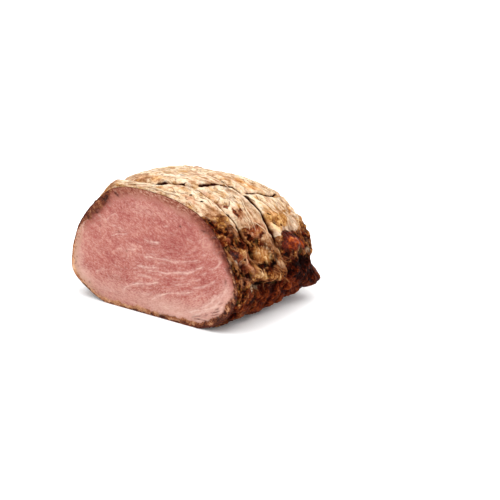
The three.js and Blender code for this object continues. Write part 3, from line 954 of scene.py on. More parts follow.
    def cavity(self) -> Array:
        """Finds the hollows and the crests of the relief.

        Returns:
            How far each place stands above the skin round it, or below 0 how far it lies below, in millimetres.
        """
        blurred, reach = self.height, self.relief.hollow_reach
        wide = 2 * reach + 1
        for _ in range(self.relief.hollow_passes):
            padded = np.pad(blurred, ((reach, reach), (0, 0)), mode="edge")
            blurred = sum(padded[n : n + self.height.shape[0]] for n in range(wide)) / wide
            blurred = sum(np.roll(blurred, n, axis=1) for n in range(-reach, reach + 1)) / wide
        return self.height - blurred


# The cut face


@dataclass(frozen=True)
class Vein:
    """Thin line in the cut meat, through points [x, z]: pale fat or sinew, or a gap between strands, dark partly with
    crust and partly as painted shade.
    """

    line: Course
    half_width: float = 0.5
    strength: float = 1.0
    gap: bool = False


@dataclass(frozen=True)
class FaceMarks:
    """What shows on the cut face: veins, the run of the grain, the cooked rim and single paler, redder and dark spots.
    """

    veins: tuple[Vein, ...] = tuple(Vein(*row) for row in (
        (((4.9, 66.3), (9.5, 67.2)), 0.4, 0.7), (((-13, 54.2), (-7.3, 53)), 0.4, 0.6),
        (((-8, 53.1), (-3, 53.6), (1.6, 54.3)), 0.5, 1.1),
        (((-42, 51), (-38.4, 52.4), (-32.9, 54), (-27, 55.2)), 0.4, 0.8),
        (((-13, 41.5), (-8.4, 42.1), (-3.5, 42.6)), 0.55, 1.1),
        (((-4, 42.3), (5, 43.2), (13, 43), (20, 44.5), (27, 46.3), (34, 48.5)), 0.4, 0.75),
        (((-29, 43.8), (-24, 44.2), (-19, 45.6)), 0.4, 0.7), (((30, 41.2), (34, 42.8), (38.5, 45.5)), 0.5, 1),
        (((27.1, 38.4), (30.4, 39)), 0.4, 0.6), (((35, 38.3), (40.4, 41)), 0.45, 0.8),
        (((-20, 33.6), (-14, 33.8), (-9, 34.6), (-4, 35.2), (0, 36.4)), 0.5, 1),
        (((0, 33.4), (7, 33.9), (13, 35.2), (19, 36.6), (25, 38), (31, 40.6)), 0.45, 0.95),
        (((-11, 31.6), (-4, 32.9), (4, 34)), 0.4, 0.7), (((-19, 27), (-13, 27.4), (-6.2, 28.3)), 0.9, 0.6),
        (((-33, 12.5), (-30.5, 15.6), (-26, 18), (-20, 20.2), (-12, 21.9), (-6, 23.4), (0, 25.6)), 0.45, 1),
        (((-22, 20.6), (-15, 21.4), (-8.4, 22.6)), 0.5, 0.6),
        (((-8, 11), (-3, 15), (1.6, 17.4), (7, 19.4), (13, 21), (21, 22.4), (29, 25.6)), 0.45, 1),
        (((-17.3, 14), (-11.8, 14.6), (-6.2, 15.7)), 0.9, 0.5),
        (((28, 28), (33.8, 29.4), (38.2, 31), (43.5, 34), (48, 37.5)), 0.55, 0.8),
        (((24, 32), (30, 33.2), (36, 35.6)), 0.4, 0.7),
        (((36, 16), (41, 19), (45, 22.6), (49, 25.4), (53.5, 30)), 0.5, 0.95),
        (((40, 14.6), (46, 18.6), (52, 24.6)), 0.45, 0.8),
        (((25, 9.6), (31, 12.4), (37, 14.4), (43, 17), (48, 20.6)), 0.5, 0.85),
        (((12, 26.4), (20, 28.6), (27, 31)), 0.4, 0.6),
        (((27, 6.4), (32, 9.6), (38, 13), (44, 17), (50, 20.6)), 0.5, 0.8),
        (((43, 22), (46, 24.6), (49, 27.4)), 0.5, 0.9), (((34, 15), (40, 18), (46, 22)), 0.45, 0.7),
        (((28, 5.6), (36, 6.2), (44, 6.8), (49, 9.6)), 0.4, 0.8), (((52, 18.6), (53, 20), (54.4, 21.6)), 0.7, 1),
        (((51, 25), (55, 30.6), (58, 36)), 0.8, 0.5), (((47, 14.4), (51, 16.2), (54, 18)), 0.4, 0.7),
        (((46.5, 16.4), (48.6, 17.6), (50.8, 19.4)), 0.36, 1, True),
        (((44, 13.4), (47.5, 15), (51.4, 17.2)), 0.4, 1.1, True),
        (((43.5, 11.4), (47.5, 13), (51, 14.6)), 0.36, 1, True), (((45.6, 10), (49.6, 12.2)), 0.36, 0.8, True),
        (((36, 9.2), (39, 10.8), (42.4, 13)), 0.4, 0.6, True),
        (((27, 6.8), (30, 7.8), (33.5, 9), (37, 9.8)), 0.6, 0.7, True),
        (((29, 6), (35, 7.2), (41, 7), (46.4, 8)), 0.45, 0.9, True),
        (((49.6, 21), (52, 22.2), (54.4, 23.8)), 0.36, 0.6, True),
        (((56, 22.4), (58.6, 24), (61.4, 26.2)), 0.5, 1, True),
        (((58.4, 25.4), (60.4, 27), (62.4, 29.4)), 0.5, 0.8, True),
        (((60.6, 31), (62.4, 33), (64, 35.4)), 0.5, 0.9, True),
        (((53, 15.6), (55, 17), (57.4, 18.8)), 0.4, 0.7, True),
        (((-38.4, 82.8), (-36.6, 82), (-35, 81), (-33, 79.8)), 0.75, 1.1, True),
        (((-61, 62.4), (-58.6, 64.4), (-56, 66), (-54, 68.4)), 1, 1, True),
        (((-51, 69), (-49, 71.6), (-47.6, 73), (-46, 75)), 1, 0.95, True),
        (((-55, 68.8), (-52.6, 70), (-50.6, 70.4)), 0.7, 0.8, True),
        (((-52, 74.6), (-49.6, 74.2), (-48, 75.4)), 0.6, 0.7, True),
        (((-44.4, 83.6), (-43.2, 82), (-42.8, 80.4)), 0.7, 0.7, True),
        (((-44.6, 78.6), (-42.6, 76), (-41.4, 74)), 0.6, 0.35, True),
        (((-31, 83), (-27.4, 83.8), (-23, 84.6)), 0.5, 0.55, True),
        (((-39.6, 84.4), (-37, 85.6), (-34, 86.4), (-31, 86)), 0.6, 0.5, True),
        (((-20, 88), (-19, 86.8), (-18.4, 85.8)), 0.5, 0.6, True), (((36, 52), (41, 54.6)), 0.4, 0.5),
        (((44, 43.4), (49, 47.6), (52.5, 52)), 0.6, 0.7),
        (((-68, 47), (-68, 53), (-65.6, 57.6), (-61, 60.6)), 0.45, 0.7),
        (((-50, 61.4), (-46, 61.6), (-42.5, 64.6), (-38.6, 67.2), (-35, 67.6)), 0.4, 0.55),
        (((-41.4, 58.2), (-36.6, 59.2)), 0.4, 0.7), (((-54, 63.6), (-49.6, 62.4)), 0.5, 0.6),
        (((-52.9, 52.9), (-50.7, 51.2)), 0.4, 0.6), (((-37.5, 42), (-34, 43.6), (-31, 41.6)), 0.45, 0.7),
        (((-28.4, 40.7), (-26.2, 37.3)), 0.4, 0.5), (((-58, 21), (-52, 24.6), (-47, 24.8)), 0.4, 0.5),
    ))
    vein_waver: float = 0.35
    vein_waver_size: float = 4.0
    vein_fade_in: Pair = (-1.0, 2.5)
    vein_fade_out: Pair = (-3.0, 1.0)
    vein_broken: float = 0.4
    vein_broken_size: float = 2.2
    vein_reach: float = 1.4
    random_veins: int = 260
    random_seed: int = 11
    random_places: Course = ((6, 28), (33, 17))
    random_long: Pair = (2.0, 11.0)
    random_steps: int = 6
    random_bend: float = 0.16
    random_half_width: Pair = (0.3, 0.45)
    random_strength: Pair = (0.08, 0.45)
    side_shift: Pair = (0.7, 1.5)
    side_scatter: Pair = (0.6, 0.4)
    side_half_width: float = 0.4
    side_strength: float = 0.3
    grain_soft: float = 30.0
    fleck_turn: int = 12
    grain: tuple[Triple, ...] = (
        (-65, 40, -35), (-55, 62, -30), (-30, 76, -52), (0, 76, -48), (25, 70, -30), (-35, 45, -6), (0, 52, 5),
        (30, 48, 14), (50, 50, 28), (-50, 25, -24), (-25, 20, 20), (0, 33, 6), (15, 15, 14), (30, 28, 18),
        (45, 25, 38), (50, 38, 32), (0, 8, 5), (-30, 8, -14), (56, 18, 52), (-10, 64, -20), (15, 60, -10),
    )
    cooked_depth: Course = (
        (0, 8), (28, 7), (38, 8), (46, 11), (66, 10.5), (78, 8.5), (110, 8), (140, 9), (160, 9.5), (178, 9), (192, 7),
        (208, 6), (228, 7), (248, 6), (268, 3.6), (303, 3.4), (343, 3.6), (365, 7),
    )
    browning: Course = (
        (0, 0.04), (28, 0.1), (38, 0.6), (45, 0.9), (66, 0.9), (80, 0.5), (100, 0.42), (125, 0.4), (142, 0.4),
        (153, 0.72), (178, 0.85), (192, 0.85), (202, 0.75), (212, 0.35), (225, 0.3), (248, 0.4), (273, 0.3),
        (303, 0.25), (343, 0.2), (368, 0.1),
    )
    crusting: Course = (
        (0, 3), (12, 2.4), (24, 1.4), (34, 2.4), (43, 8), (60, 8.5), (70, 6), (79, 0.9), (120, 0.7), (178, 1.2),
        (190, 2.2), (198, 3.2), (205, 4.2), (213, 5.2), (227, 7), (238, 6.4), (246, 5.4), (256, 4.4), (268, 4.4),
        (300, 4.6), (330, 4), (343, 2.4), (356, 1.6), (366, 2.2), (374, 4.6), (380, 4.2),
    )
    crust_dark: Course = (
        (0, -0.1), (20, 0), (34, 0.22), (43, 0.27), (66, 0.3), (80, 0.2), (180, 0.32), (200, 0.3), (227, 0.3),
        (250, 0.28), (268, 0.12), (300, 0.08), (343, -0.04), (368, -0.05),
    )
    crust_mottled: Course = (
        (0, 0.6), (34, 0.6), (66, 0.55), (80, 0.6), (200, 1.05), (227, 1.05), (250, 0.95), (268, 0.6), (300, 0.55),
        (343, 0.45), (368, 0.8),
    )
    rim_dark: Course = (
        (0, 0.6), (20, 0.7), (34, 0.7), (44, 0.95), (60, 0.95), (68, 0.62), (80, 0.6), (110, 0.5), (140, 0.6),
        (155, 0.85), (178, 0.95), (200, 0.8), (220, 0.75), (250, 0.8), (270, 0.75), (284, 0.9), (312, 0.85),
        (330, 0.7), (350, 0.6), (371, 0.75),
    )
    rim_fade: Pair = (0.345, 1.61)
    cooked_fade: Pair = (0.25, 1.25)
    crust_fade: Pair = (0.45, 1.2)
    cooked_ragged: float = 0.18
    crust_ragged: float = 0.3
    fine_share: float = 0.5
    ragged_size: float = 5.0
    fine_ragged_size: float = 1.6
    ruddy_size: float = 22.0
    # Paler spots; the wide first one makes the face lighter towards the bottom
    paler: Spots = (
        (10, 8, 42, 9, 1), (-50, 11, 20, 8, 0.5), (46, 16, 13, 12, 0.3), (56, 32, 6, 12, 0.4), (-20, 30, 12, 6, 0.2),
        (-76, 27, 7, 16, 0.9), (-10, 75, 30, 5, 0.3), (-70, 14, 9, 8, 0.7), (49, 19, 8, 7, 0.5), (57, 31, 4, 7, 0.4),
        (-40, 22, 9, 5, 0.3), (51.5, 52, 2, 2, 0.5), (37, 63, 3, 2.5, 0.35),
    )
    redder: Spots = (
        (8, 28, 7, 3, 0.6), (31.6, 44, 4, 2.5, 0.35), (-36, 55, 6, 4, 0.35), (-60, 48, 5, 10, 0.4),
        (11, 6.3, 6, 0.9, 0.9), (-32, 24, 2, 8, 0.35), (44, 46, 13, 14, 0.28), (47, 13, 8, 3, 0.4),
        (20, 26, 8, 2.5, 0.3), (30, 60, 14, 6, 0.25), (-12, 60, 12, 4, 0.2),
    )
    specks: Spots = (
        (18.8, 69, 0.8, 0.8, 1), (-35, 55, 0.7, 0.7, 0.6), (-51.8, 56.2, 0.7, 0.7, 0.6), (-28.4, 42.3, 0.7, 0.7, 0.6),
        (38.5, 69.5, 1.8, 0.55, 1), (-37, 82.3, 1.1, 0.8, 1), (-35, 81.2, 1, 0.7, 0.9), (-30, 30, 0.6, 0.8, 0.5),
        (47, 66.5, 1.6, 0.7, 1), (51, 61.5, 1.3, 0.8, 0.9), (54.5, 56, 1, 1.5, 0.8), (58.5, 47, 2.5, 2.5, 0.7),
        (56, 38, 1, 2.2, 0.5), (-78, 39.6, 0.9, 0.9, 1.2), (-76, 25, 0.5, 0.8, 0.6), (-74, 22, 0.7, 0.5, 0.6),
        (-75, 29, 0.5, 0.6, 0.5), (-22, 0.5, 2.6, 1, 1.4), (-14.5, 0.6, 1.2, 0.9, 1.2), (-7.5, 1.2, 1, 1.1, 1.4),
        (2, 1.4, 3.2, 1.1, 1.6), (-33, 0.4, 3, 0.8, 1.1), (58, 13, 3.4, 1.4, 1.1), (62.6, 19.6, 1.4, 2.4, 1),
        (51.5, 8.6, 2.4, 1, 1), (30, 6, 4, 0.6, 0.2), (-64, 12, 0.8, 0.8, 0.5), (20, 1.4, 6, 0.7, 0.8),
    )


@dataclass(frozen=True)
class CutFaceSizes:
    """Fineness and relief of the cut face."""

    spacing: float = 0.74
    clear_of_rim: float = 0.87
    clear_of_vein: float = 0.5
    vein_spacing: float = 0.75
    vein_apart: float = 0.3
    streak: Pair = (1.4, 2.0)
    broad_streak: Pair = (3.0, 6.0)
    streak_steps: int = 11
    streak_calm: float = 2.2
    relief: float = 0.22
    swell_size: float = 9.0
    crumb_size: float = 2.2
    crumb_from: Pair = (0.6, 1.2)
    flat_rim: Pair = (0.2, 2.5)


def lifted(places: Array, height: float = 0.0) -> Array:
    """Places [x, z] with a third number, so that noise can be read there."""
    return np.column_stack([places, np.full(len(places), height)])


class CutFace:
    """The flat cut face: its points between the rim's, its triangles and its masks."""

    def __init__(self, form: JointForm, marks: FaceMarks, sizes: CutFaceSizes, rim: Array) -> None:
        """Works the face out.

        Args:
            form: The joint's form.
            marks: What shows on the face.
            sizes: Fineness and relief.
            rim: Points of the skin's first row, with x, y, z last.
        """
        self.form, self.marks, self.sizes = form, marks, sizes
        self.rim_count = len(rim)
        self.rim_tree = self.tree_of(form.outline.curve)
        self.vein_places, self.vein_facts = self.lay_veins()
        self.vein_tree = self.tree_of(self.vein_places)
        self.flat = np.vstack([rim[:, [0, 2]], self.lay_points()])
        self.triangles = self.join_up()
        self.masks = self.read_masks()
        self.inner_points = self.raise_relief()

    @staticmethod
    def tree_of(places: Array) -> kdtree.KDTree:
        """Makes a tree that finds the nearest of some places.

        Args:
            places: Places [x, z].

        Returns:
            The tree.
        """
        tree = kdtree.KDTree(len(places))
        for number, (x, z) in enumerate(places):
            tree.insert((x, z, 0.0), number)
        tree.balance()
        return tree

    def lay_veins(self) -> tuple[Array, Array]:
        """Follows the veins in short steps.

        Returns:
            Places [x, z] on them, and for each place its half width, its strength as fat and as a gap.
        """
        marks = self.marks
        generator = np.random.default_rng(marks.random_seed)
        veins = list(marks.veins)
        for _ in range(marks.random_veins):
            x, z = (generator.normal(*spread) for spread in marks.random_places)
            step = generator.uniform(*marks.random_long) / marks.random_steps
            line = [(x, z)]
            for _ in range(marks.random_steps):
                angle = self.grain_at(np.array([line[-1]]))[0] + generator.normal(0, marks.random_bend)
                line.append((line[-1][0] + math.cos(angle) * step, line[-1][1] + math.sin(angle) * step))
            spans = marks.random_half_width, marks.random_strength
            veins.append(Vein(tuple(line), *(generator.uniform(*span) for span in spans)))
        for vein in marks.veins:
            for side in () if vein.gap else (-1, 1):
                shift = np.array((0.0, side * generator.uniform(*marks.side_shift)))
                line = tuple(tuple(place + shift + generator.normal(0, marks.side_scatter)) for place in vein.line)
                veins.append(Vein(line, marks.side_half_width, marks.side_strength * vein.strength))
        places, facts = zip(*(self.follow(vein) for vein in veins))
        return np.vstack(places), np.vstack(facts)

    def follow(self, vein: Vein) -> tuple[Array, Array]:
        """Follows one vein in short steps.

        Args:
            vein: The vein.

        Returns:
            Places [x, z] on it, and for each place its half width, its strength as fat and as a gap.
        """
        marks = self.marks
        line = np.array(vein.line, float)
        ways = np.concatenate([[0.0], np.cumsum(np.linalg.norm(np.diff(line, axis=0), axis=1))])
        steps = np.arange(0, ways[-1], self.sizes.vein_spacing)
        along = np.stack([np.interp(steps, ways, line[:, n]) for n in (0, 1)], -1)
        sway = [Grain.smooth(lifted(along / marks.vein_waver_size, height)) for height in (2, 9)]
        along += marks.vein_waver * np.stack(sway, -1)
        fade = plateau(steps, *marks.vein_fade_in, *(ways[-1] + by for by in marks.vein_fade_out))
        uneven = Grain.smooth(lifted(along / marks.vein_broken_size, 4))
        strength = vein.strength * fade * (1 - marks.vein_broken / 2 + marks.vein_broken * uneven)
        return along, np.stack([0 * steps + vein.half_width, strength * (not vein.gap), strength * vein.gap], -1)

    def nearest_rim(self, x: float, z: float) -> tuple[float, int]:
        """Distance to the outline, and the number of the nearest point of its curve."""
        _, number, away = self.rim_tree.find((x, z, 0.0))
        return away, number

    def lay_points(self) -> Array:
        """Fills the face with points, on the veins and evenly between them.

        Returns:
            Places [x, z].
        """
        sizes, curve = self.sizes, self.form.outline.curve
        low, high = curve.min(0), curve.max(0)
        kept = [
            (x, z)
            for number, z in enumerate(np.arange(low[1], high[1], sizes.spacing * math.sqrt(3) / 2))
            for x in np.arange(low[0], high[0], sizes.spacing) + (number % 2) * sizes.spacing / 2
            if self.inside(x, z) and self.vein_tree.find((x, z, 0.0))[2] > sizes.clear_of_vein
        ]
        for number, (x, z) in enumerate(self.vein_places):
            near = self.vein_tree.find_range((x, z, 0.0), sizes.vein_apart)
            if all(other >= number for _, other, _ in near) and self.inside(x, z):
                kept.append((x, z))
        return np.array(kept)

    def inside(self, x: float, z: float) -> bool:
        """Tells whether a place is inside the outline and clear of its rim.

        Args:
            x: How far to the right it is.
            z: How high it is.

        Returns:
            Whether it is.
        """
        ring = self.form.outline.curve[:-1]
        away, number = self.nearest_rim(x, z)
        if away < self.sizes.clear_of_rim:
            return False
        before, after = ring[number - 1], ring[(number + 1) % len(ring)]
        run = after - before
        here = np.array((x, z)) - before
        return run[0] * here[1] - run[1] * here[0] < 0

    def join_up(self) -> Array:
        """Joins the points to triangles inside the rim.

        Returns:
            Triangles as numbers of places, facing the cut's way.
        """
        points = [Vector((float(x), float(z))) for x, z in self.flat]
        made = delaunay_2d_cdt(points, [], [list(range(self.rim_count))[::-1]], 1, 1e-6, True)
        origin = [sources[0] for sources in made[3]]
        return np.array([[origin[n] for n in face] for face in made[2]])

    def grain_at(self, places: Array) -> Array:
        """Finds the angle of the meat's grain.

        Args:
            places: Places [x, z] of the face.

        Returns:
            The angle at each, in radians.
        """
        anchors = np.array(self.marks.grain, float)
        away = np.linalg.norm(places[:, None, :] - anchors[None, :, :2], axis=-1)
        weight = 1 / (away**2 + self.marks.grain_soft)
        double = np.radians(2 * anchors[:, 2])
        return 0.5 * np.arctan2((weight * np.sin(double)).sum(1), (weight * np.cos(double)).sum(1))

    def grain_shares(self) -> dict[str, Array]:
        """Shares the grain out among the ways that the finish draws its fine flecks.

        Returns:
            One share a way, by the mask's name.
        """
        angle, power = self.grain_at(self.flat), self.marks.fleck_turn
        shares = np.array([np.abs(np.cos(angle - math.radians(way))) ** power for way in GRAIN_WAYS])
        shares = shares / np.sqrt((shares**2).sum(0))
        return {f"grain_{number}": share for number, share in enumerate(shares)}

    def streaks(self, width: float, reach: float, offset: float) -> Array:
        """Noise drawn out along the grain.

        Args:
            width: Size of the noise across the grain.
            reach: How far it is drawn out each way.
            offset: Moves the noise, so that two uses differ.

        Returns:
            Values of about -1..1.
        """
        steps = self.sizes.streak_steps
        total = Grain.smooth(lifted(self.flat / width, offset))
        for way in (-1, 1):
            place = self.flat.copy()
            for _ in range(steps):
                angle = self.grain_at(place)
                place += way * reach / steps * np.stack([np.cos(angle), np.sin(angle)], -1)
                total = total + Grain.smooth(lifted(place / width, offset))
        spread = total - total.mean()
        return spread / (self.sizes.streak_calm * spread.std())

    def read_masks(self) -> dict[str, Array]:
        """Works out what shows where.

        Returns:
            One array a mask, by its name.
        """
        marks, sizes, flat = self.marks, self.sizes, self.flat
        outline = self.form.outline
        found = [self.nearest_rim(x, z) for x, z in flat]
        depth = np.array([away for away, _ in found])
        depth[: self.rim_count] = 0.0
        a = outline.ways[np.array([number for _, number in found])]
        space = lifted(flat)
        ragged = Grain.layered(space / marks.ragged_size, 3, 0.6, 2.0)
        fine = marks.fine_share * Grain.layered(space / marks.fine_ragged_size, 2, 0.6, 12.0)
        names = ("cooked_depth", "crusting", "rim_dark", "browning", "crust_dark", "crust_mottled")
        cooked_depth, crust_depth, rim_dark, *rest = (outline.course_at(getattr(marks, name), a) for name in names)
        cooked = depth + marks.cooked_ragged * cooked_depth * ragged
        crusted = depth + marks.crust_ragged * crust_depth * (ragged + fine)
        vein = np.zeros((len(flat), 2))
        for number, (x, z) in enumerate(flat):
            for _, other, away in self.vein_tree.find_range((x, z, 0.0), marks.vein_reach):
                half, *strengths = self.vein_facts[other]
                vein[number] = np.maximum(vein[number], np.array(strengths) * math.exp(-((away / half) ** 2)))
        spots = {"paler": marks.paler, "redder": marks.redder, "specks": marks.specks}
        return {
            "depth": depth,
            "cooked": 1 - smoothstep(cooked, *(share * cooked_depth for share in marks.cooked_fade)),
            "crusted": 1 - smoothstep(crusted, *(share * crust_depth for share in marks.crust_fade)),
            "rim_dark": rim_dark * (1 - smoothstep(depth + fine, *marks.rim_fade)),
            **dict(zip(names[3:], rest)),
            "vein": vein[:, 0],
            "gap": vein[:, 1],
            "streak": self.streaks(*sizes.streak, 0.0),
            "broad_streak": self.streaks(*sizes.broad_streak, 20.0),
            **self.grain_shares(),
            "ruddy_face": Grain.layered(space / marks.ruddy_size, 3, 0.55, 31.0),
            **{name: sum(amount * bell(flat[:, 0] - x, over_x) * bell(flat[:, 1] - z, over_z)
                         for x, z, over_x, over_z, amount in places)
               for name, places in spots.items()},
        }

    def raise_relief(self) -> Array:
        """Gives the face its slight relief of fibres and veins.

        Returns:
            Points of the face between the rim's, with x, y, z last.
        """
        sizes, count = self.sizes, self.rim_count
        space = lifted(self.flat[count:])
        masks = {name: values[count:] for name, values in self.masks.items()}
        swell = 0.5 + 0.5 * masks["streak"] + 0.5 * Grain.layered(space / sizes.swell_size, 3, 0.5, 7.0)
        crumbly = masks["crusted"] * smoothstep(masks["crust_mottled"], *sizes.crumb_from)
        swell = swell + crumbly * (1 + Grain.layered(space / sizes.crumb_size, 2, 0.6, 3.0))
        away = smoothstep(masks["depth"], *sizes.flat_rim)
        y = np.clip(swell * sizes.relief * away, 0.0, None)
        return np.column_stack([self.flat[count:, 0], y, self.flat[count:, 1]])


# Finishes


def add_node(
    tree: bpy.types.NodeTree,
    kind: str,
    *inputs: object,
    named: dict | None = None,
    output: int | str = 0,
    stops: Stops = (),
    **settings: object,
) -> Socket | bpy.types.Node:
    """Adds one node to a material, with its settings and links.

    Args:
        tree: The node tree of the material.
        kind: Blender's name for the kind of node, without its first word.
        inputs: What the input sockets take in their order: a socket to link, a value, or None to leave it.
        named: The same for sockets by name or number.
        output: Number or name of the output socket that is wanted.
        stops: Places and sRGB hex colours, where the node has a colour ramp.
        settings: Attributes of the node.

    Returns:
        The output socket, or the node itself where it has none.
    """
    node = tree.nodes.new(f"ShaderNode{kind}")
    for name, value in settings.items():
        setattr(node, name, value)
    for key, value in (*enumerate(inputs), *(named or {}).items()):
        if isinstance(value, bpy.types.NodeSocket):
            tree.links.new(value, node.inputs[key])
        elif value is not None:
            node.inputs[key].default_value = value
    for number, (place, code) in enumerate(stops):
        elements = node.color_ramp.elements
        element = elements[number] if number < len(elements) else elements.new(place)
        element.position = place
        element.color = linear_colour(code)
    return node.outputs[output] if node.outputs else node


class Recipe:
    """A material in the making: noises of real sizes, weighted sums and colours laid over each other."""

    def __init__(self, name: str, masks: tuple[str, ...] = ()) -> None:
        """Starts a material, which may read masks of the mesh.

        Args:
            name: The material's name.
            masks: Names of the masks.
        """
        self.material = bpy.data.materials.new(name)
        self.material.use_nodes = True
        self.tree = self.material.node_tree
        self.tree.nodes.clear()
        self.mask = {mask: self.add("Attribute", output="Fac", attribute_name=mask) for mask in masks}

    def add(self, kind: str, *inputs: object, **more: object) -> Socket:
        """Adds one node, as add_node does."""
        return add_node(self.tree, kind, *inputs, **more)

    def grown(self, source: Socket, size_mm: float | tuple, detail: float = 4.0, rough: float = 0.55,
              shift: float = 0.0, turn: float = 0.0) -> Socket:
        """Noise whose lumps have a real size.

        Args:
            source: Coordinates in metres.
            size_mm: Size of the lumps, one for all axes or one each.
            detail: How many finer layers.
            rough: Strength of the finer layers.
            shift: Moves the noise, so that two uses differ.
            turn: Turns the noise about the length, in radians.

        Returns:
            Its socket, 0..1 with 0.5 in the middle.
        """
        sizes = size_mm if isinstance(size_mm, tuple) else (size_mm,) * 3
        place = self.add("Mapping", source, (shift * MM,) * 3, (0.0, turn, 0.0), tuple(n * MM for n in sizes),
                         vector_type="TEXTURE")
        return self.add("TexNoise", place, None, 1.0, detail, rough)

    def total(self, start: float, *terms: tuple[Socket, float]) -> Socket:
        """Sum of a number and of sockets, each times its weight; noises count from their middle.

        Args:
            start: The number.
            terms: Sockets with their weights.

        Returns:
            The sum's socket.
        """
        result = start
        for socket, weight in terms:
            noise = socket.node.bl_idname == "ShaderNodeTexNoise"
            middle = self.add("Math", socket, 0.5, operation="SUBTRACT") if noise else socket
            result = self.add("Math", middle, weight, result, operation="MULTIPLY_ADD")
        return result

    def step(self, source: Socket, low: float, high: float, top: float = 1.0) -> Socket:
        """Smooth step of a socket, from 0 at low to top at high."""
        return self.add("MapRange", source, low, high, 0.0, top, interpolation_type="SMOOTHSTEP")

    def patch(self, mask: str, noise: Socket, top: float = 1.0) -> Socket:
        """Turns a soft mask to a patch with a ragged edge that follows a noise."""
        return self.step(self.total(0.0, (self.mask[mask], 1.0), (noise, 1.6)), 0.25, 0.55, top)

    def soft(self, mask: str, noise: Socket, top: float = 1.0) -> Socket:
        """Turns a soft mask to a patch with a wide soft edge that wanders with a noise."""
        return self.step(self.total(0.0, (self.mask[mask], 1.0), (noise, 1.2)), 0.05, 0.8, top)

    def line(self, name: str, beyond: float, within: float, shift: float = 0.0) -> Socket:
        """Draws a line that the skin's masks place.

        Args:
            name: The start of the names of its two masks, the signed distance from it and its half width.
            beyond: Where it has faded out, as a share of its half width.
            within: Where it is full.
            shift: How far it is drawn from its place, in millimetres.

        Returns:
            The socket of its share.
        """
        away = self.add("Math", self.total(shift, (self.mask[f"{name}_offset"], 1.0)), operation="ABSOLUTE")
        half = self.add("Math", self.mask[f"{name}_width"], 0.001, operation="MAXIMUM")
        return self.step(self.add("Math", away, half, operation="DIVIDE"), beyond, within)

    def over(self, base: Socket, *layers: tuple) -> Socket:
        """Lays colours over a base.

        Args:
            base: The base's colour.
            layers: Pairs of a colour and the socket of its share. The colour is a hex code, a linear colour, a
                socket, or a socket of tones with the stops of its ramp.

        Returns:
            The colour's socket.
        """
        colour = base
        for top, share in layers:
            upper = linear_colour(top) if isinstance(top, str) else top
            if isinstance(top, tuple) and isinstance(top[0], bpy.types.NodeSocket):
                upper = self.add("ValToRGB", top[0], stops=top[1])
            colour = self.add("Mix", named={0: share, 6: colour, 7: upper}, output=2, data_type="RGBA")
        return colour

    def finish(self, surface: dict) -> bpy.types.Material:
        """Ends the material.

        Args:
            surface: What the surface's sockets take, by their names: a socket to link, or a value.

        Returns:
            The material.
        """
        shader = self.add("BsdfPrincipled", named=surface)
        self.add("OutputMaterial", shader)
        return self.material


